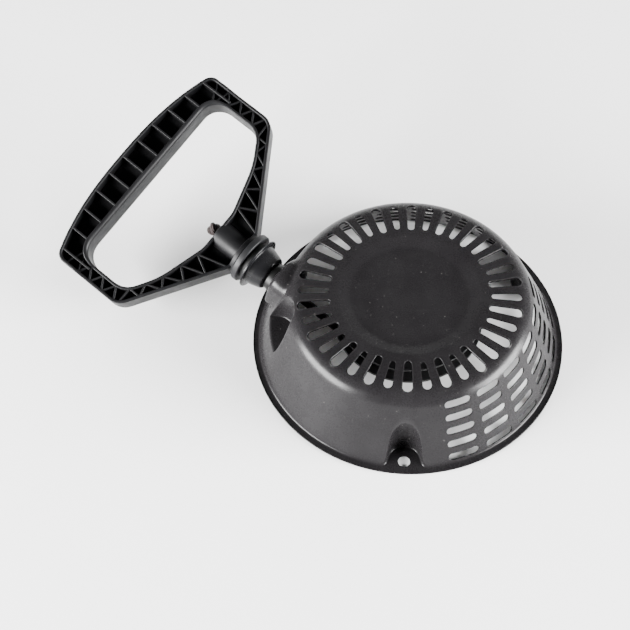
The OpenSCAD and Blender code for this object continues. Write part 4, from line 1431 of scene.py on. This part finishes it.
@dataclass(frozen=True)
class Finish:
    """A moulded, painted or plated surface.

    Its colour drifts between two tones, its roughness between two limits, and it
    has a coarse wave and a fine grain, each with a size and a depth in metres.
    """

    name: str
    dark: tuple
    light: tuple
    rough: tuple = (0.4, 0.5)
    metal: float = 0.0
    tone_size: float = 0.02
    wave: tuple = (0.004, 0.0)
    grain: tuple = (0.0004, 0.00001)
    stretch: tuple = (1, 1, 1)
    coat: tuple = (0.0, 0.1)
    specular: float = 0.5
    scratches: float = 0.0
    dust: float = 0.0

    def make(self) -> bpy.types.Material:
        """Builds the material's nodes."""
        n = Nodes(self.name)
        n.shader.inputs["Metallic"].default_value = self.metal
        n.shader.inputs["Coat Weight"].default_value = self.coat[0]
        n.shader.inputs["Coat Roughness"].default_value = self.coat[1]
        n.shader.inputs["Specular IOR Level"].default_value = self.specular
        tone = n.span(n.noise(self.tone_size, 4, self.stretch), 0.35, 0.65, 0, 1)
        colour = n.mix(tone, self.dark, self.light)
        fine = n.noise(self.grain[0], 2, self.stretch)
        rough = n.math("ADD", n.span(n.noise(self.tone_size * 0.4, 5, self.stretch), 0.35, 0.65, *self.rough),
                       n.span(fine, 0.3, 0.7, -0.03, 0.03))
        if self.scratches:
            lines = None
            for k, (spin, rare) in enumerate(((0.5, 0.80), (-1.0, 0.81), (1.3, 0.80))):
                turned = n.new("ShaderNodeMapping", Rotation=(0, 0, spin), Location=(0.3 * k, 0, 0),
                               Scale=(0.05, 1.6, 1))
                n.link(n.place, turned.inputs["Vector"])
                hair = n.noise(0.0012, 1, at=turned.outputs["Vector"])
                mark = n.span(hair, rare - 0.04, rare, 0, 1)
                lines = mark if lines is None else n.math("MAXIMUM", lines, mark)
            rough = n.math("ADD", rough, n.math("MULTIPLY", lines, 0.25 * self.scratches))
            n.relief(n.math("MULTIPLY", lines, -1.0), 0.00003, 0.6)
        if self.dust:
            specks = n.span(n.noise(0.0016, 2), 0.74, 0.78, 0, self.dust)
            blend = n.new("ShaderNodeMix", data_type="RGBA")
            n.link(specks, blend.inputs[0])
            n.link(colour, blend.inputs[6])
            blend.inputs[7].default_value = (0.25, 0.24, 0.23, 1)
            colour = blend.outputs[2]
        n.link(colour, n.shader.inputs["Base Color"])
        n.link(rough, n.shader.inputs["Roughness"])
        if self.wave[1]:
            n.relief(n.noise(self.wave[0], 2), self.wave[1])
        n.relief(fine, self.grain[1])
        return n.done()


@dataclass(frozen=True)
class Braid:
    """Plaited rope. Its strands cross as two families of slanted stripes on the piece's own map; its colour
    carries painted shade, dark in the grooves between strands and lighter on their crowns.
    """

    name: str = "rope_braid_groove_shade"
    # dark is the painted shade in the grooves between strands, light the colour of the strand crowns
    dark: tuple = (0.004, 0.003, 0.003)
    light: tuple = (0.028, 0.018, 0.017)
    strands: float = 8.0
    pitch: float = 0.7

    def make(self) -> bpy.types.Material:
        """Builds the material: u runs round the rope, v along it in rope diameters."""
        n = Nodes(self.name)
        uv = n.new("ShaderNodeUVMap", uv_map="along").outputs["UV"]
        split = n.new("ShaderNodeSeparateXYZ")
        n.link(uv, split.inputs["Vector"])
        around = n.math("MULTIPLY", split.outputs["X"], self.strands)
        along = n.math("MULTIPLY", split.outputs["Y"], 1 / self.pitch)
        rows = []
        for sign in (1.0, -1.0):
            stripe = n.math("ADD", around, n.math("MULTIPLY", along, sign))
            rows.append(n.math("ABSOLUTE", n.math("SINE", n.math("MULTIPLY", stripe, np.pi))))
        over = n.math("SINE", n.math("MULTIPLY", along, 2 * np.pi))
        pick = n.math("GREATER_THAN", over, 0.0)
        low = n.math("MULTIPLY", rows[1], n.math("SUBTRACT", 1.0, pick))
        height = n.math("ADD", n.math("MULTIPLY", rows[0], pick), low)
        fibre = n.noise(0.00025, 2)
        # Painted shade: the colour follows the strands' height, dark in the grooves and light on the crowns,
        # with random fibre grain
        colour = n.mix(n.math("MULTIPLY", height, n.span(fibre, 0.3, 0.7, 0.4, 1.0)), self.dark, self.light)
        n.link(colour, n.shader.inputs["Base Color"])
        n.link(n.span(fibre, 0.3, 0.7, 0.55, 0.8), n.shader.inputs["Roughness"])
        n.shader.inputs["Sheen Weight"].default_value = 0.06
        n.shader.inputs["Specular IOR Level"].default_value = 0.15
        n.relief(height, 0.00035)
        n.relief(fibre, 0.00006)
        return n.done()


class Dress(Enum):
    """The finishes of a recoil starter, one for each slot of the record."""

    BLACK_PAINT = Finish("black_enamel", (0.0065, 0.006, 0.0065), (0.0085, 0.008, 0.0085), (0.25, 0.30),
                         wave=(0.008, 0.00001), grain=(0.0009, 0.000001), specular=0.11, scratches=1.0,
                         dust=0.35)
    GRIP = Finish("grip_nylon", (0.0025, 0.0025, 0.0028), (0.004, 0.004, 0.0044), (0.40, 0.50),
                  wave=(0.006, 0.00002), grain=(0.00035, 0.00001), specular=0.13)
    CUP = Finish("cup_gloss", (0.004, 0.004, 0.0045), (0.006, 0.006, 0.0065), (0.22, 0.28),
                 grain=(0.0006, 0.000003), specular=0.16)
    COLLAR = Finish("collar_nylon", (0.005, 0.005, 0.0055), (0.008, 0.008, 0.0085), (0.42, 0.52),
                    grain=(0.0004, 0.00001), specular=0.14)
    RUBBER = Finish("soft_rubber", (0.003, 0.003, 0.003), (0.006, 0.006, 0.006), (0.6, 0.75),
                    grain=(0.0003, 0.00003), specular=0.2)
    EYELET = Finish("eyelet_gloss", (0.003, 0.003, 0.003), (0.005, 0.005, 0.005), (0.3, 0.4),
                    grain=(0.0006, 0.000006), specular=0.12)
    REEL = Finish("reel_nylon", (0.003, 0.003, 0.0035), (0.005, 0.005, 0.0055), (0.38, 0.5),
                  grain=(0.0004, 0.00002))
    SPRING = Finish("spring_steel", (0.20, 0.20, 0.21), (0.33, 0.33, 0.34), (0.25, 0.38), metal=1.0,
                    stretch=(1, 1, 0.1), grain=(0.0005, 0.00001))
    ZINC = Finish("zinc_plate", (0.46, 0.455, 0.43), (0.60, 0.595, 0.56), (0.24, 0.38), metal=1.0,
                  grain=(0.0005, 0.00001))
    PAWL = Finish("sintered_steel", (0.26, 0.255, 0.25), (0.40, 0.39, 0.38), (0.38, 0.5), metal=1.0,
                  grain=(0.0003, 0.00003))
    ROPE = Braid()


# ---------------------------------------------------------------- studio
@dataclass(frozen=True)
class Softbox:
    """A square lamp that looks at the object."""

    name: str
    place: tuple
    size: tuple
    power: float
    aim: tuple = (-0.03, 0.0, 0.02)

    def light(self) -> None:
        """Adds the lamp."""
        data = bpy.data.lights.new(self.name, "AREA")
        data.shape, data.size, data.size_y = "RECTANGLE", *self.size
        data.energy = self.power
        lamp = stand(self.name, data)
        lamp.location = self.place
        lamp.rotation_mode = "QUATERNION"
        lamp.rotation_quaternion = (Vector(self.place) - Vector(self.aim)).to_track_quat("Z", "Y")


@dataclass
class Studio:
    """A pale table, soft lamps and the camera."""

    eye: tuple = (-0.01460, -0.42717, 0.65546)
    azimuth: float = 5.593
    elevation: float = 55.97
    roll: float = -2.58
    lens: float = 72.15
    facing: tuple = (0.98, 0.35, 0.02, 1.0)
    sky: tuple = (0.30, 0.95, 1.0, 0.08)
    level_share: float = 0.6
    level_run: tuple = (-1.5, 1.1)
    curve_r: float = 0.9

    def camera(self) -> None:
        """Stands the camera high in front of the cover and makes it the scene's own."""
        a, e, t = np.radians([self.azimuth, self.elevation, self.roll])
        back = np.array([np.sin(a) * np.cos(e), -np.cos(a) * np.cos(e), np.sin(e)])
        level = np.array([np.cos(a), np.sin(a), 0])
        high = np.cross(back, level)
        right = np.cos(t) * level + np.sin(t) * high
        up = np.cos(t) * high - np.sin(t) * level
        data = bpy.data.cameras.new("camera")
        data.lens, data.sensor_width = self.lens, 36.0
        data.clip_start, data.clip_end = 0.02, 20.0
        cam = stand("camera", data)
        turn = np.eye(4)
        turn[:3, :3] = np.stack([right, up, back], -1)
        turn[:3, 3] = self.eye
        cam.matrix_world = Matrix(turn.tolist())
        bpy.context.scene.camera = cam

    def floor(self) -> None:
        """A pale sheet of paper, level under the object and curved up far behind it."""
        s, level, (near, far) = np.linspace(0, 1, 49), self.level_share, self.level_run
        turn = np.clip((s - level) / (1 - level), 0, 1) * np.pi / 2
        run = np.where(s < level, (far - near) * s / level + near, far + self.curve_r * np.sin(turn))
        rise = np.where(s < level, 0, self.curve_r * (1 - np.cos(turn)))
        x = np.linspace(-2, 2, 9)
        p = np.stack(np.broadcast_arrays(x[None], run[:, None], rise[:, None] - 0.0004), -1)
        skin = Skin()
        skin.grid(p / MM)
        paper = skin.build("paper", np.array([0, 0, -1.0]))
        finish = Finish("white_paper", (0.80, 0.80, 0.80), (0.82, 0.82, 0.82), (0.7, 0.8), tone_size=0.3,
                        grain=(0.001, 0.000005), specular=0.2).make()
        paper.data.materials.append(finish)

    def surroundings(self) -> None:
        """A pale room, with the dark corner in it where the camera stands."""
        world = bpy.data.worlds.new("studio")
        world.use_nodes = True
        tree = world.node_tree
        direction = tree.nodes.new("ShaderNodeTexCoord").outputs["Generated"]
        toward = tree.nodes.new("ShaderNodeVectorMath")
        toward.operation = "DOT_PRODUCT"
        toward.inputs[1].default_value = Vector(self.eye).normalized()
        tree.links.new(direction, toward.inputs[0])
        away = tree.nodes.new("ShaderNodeMapRange")
        high = tree.nodes.new("ShaderNodeMapRange")
        split = tree.nodes.new("ShaderNodeSeparateXYZ")
        both = tree.nodes.new("ShaderNodeMath")
        both.operation = "MULTIPLY"
        tree.links.new(direction, split.inputs[0])
        for node, source, values in ((away, toward.outputs["Value"], self.facing),
                                     (high, split.outputs["Z"], self.sky)):
            for name, value in zip(("From Min", "From Max", "To Min", "To Max"), values):
                node.inputs[name].default_value = value
            tree.links.new(source, node.inputs["Value"])
            tree.links.new(node.outputs["Result"], both.inputs[0 if node is away else 1])
        tree.links.new(both.outputs["Value"], tree.nodes["Background"].inputs["Strength"])
        tree.nodes["Background"].inputs["Color"].default_value = (1, 1, 1, 1)
        bpy.context.scene.world = world

    def build(self) -> None:
        """Sets up the world's glow, the lamps, the paper and the camera."""
        self.surroundings()
        for lamp in (Softbox("left box", (-1.55, -0.70, 0.42), (1.3, 0.65), 330),
                     Softbox("right box", (1.55, -0.40, 0.42), (1.2, 0.65), 290)):
            lamp.light()
        self.floor()
        self.camera()


SLOT_DRESS = {
    "black_paint": Dress.BLACK_PAINT,
    "grip_plastic": Dress.GRIP,
    "cup_plastic": Dress.CUP,
    "collar_plastic": Dress.COLLAR,
    "rubber": Dress.RUBBER,
    "guide_plastic": Dress.EYELET,
    "reel_plastic": Dress.REEL,
    "rope": Dress.ROPE,
    "spring_steel": Dress.SPRING,
    "plated_steel": Dress.ZINC,
    "pawl_steel": Dress.PAWL,
}


def main() -> None:
    """Builds every piece in order, then the studio."""
    logging.basicConfig(level=logging.INFO, format="%(message)s")
    bpy.context.view_layer.update()
    coat = {slot: dress.value.make() for slot, dress in SLOT_DRESS.items()}
    Housing().build(coat["black_paint"])
    Handle().build(coat["grip_plastic"])
    for ring in STACK:
        ring.build(coat[ring.slot])
    rope = Rope()
    for piece in (rope.winding, rope.reel_end, rope.lead, rope.handle_end):
        piece(coat["rope"])
    Springs().build(coat["spring_steel"])
    for part in DRIVE:
        part.build(coat[part.slot])
    Studio().build()


if __name__ == "__main__":
    main()
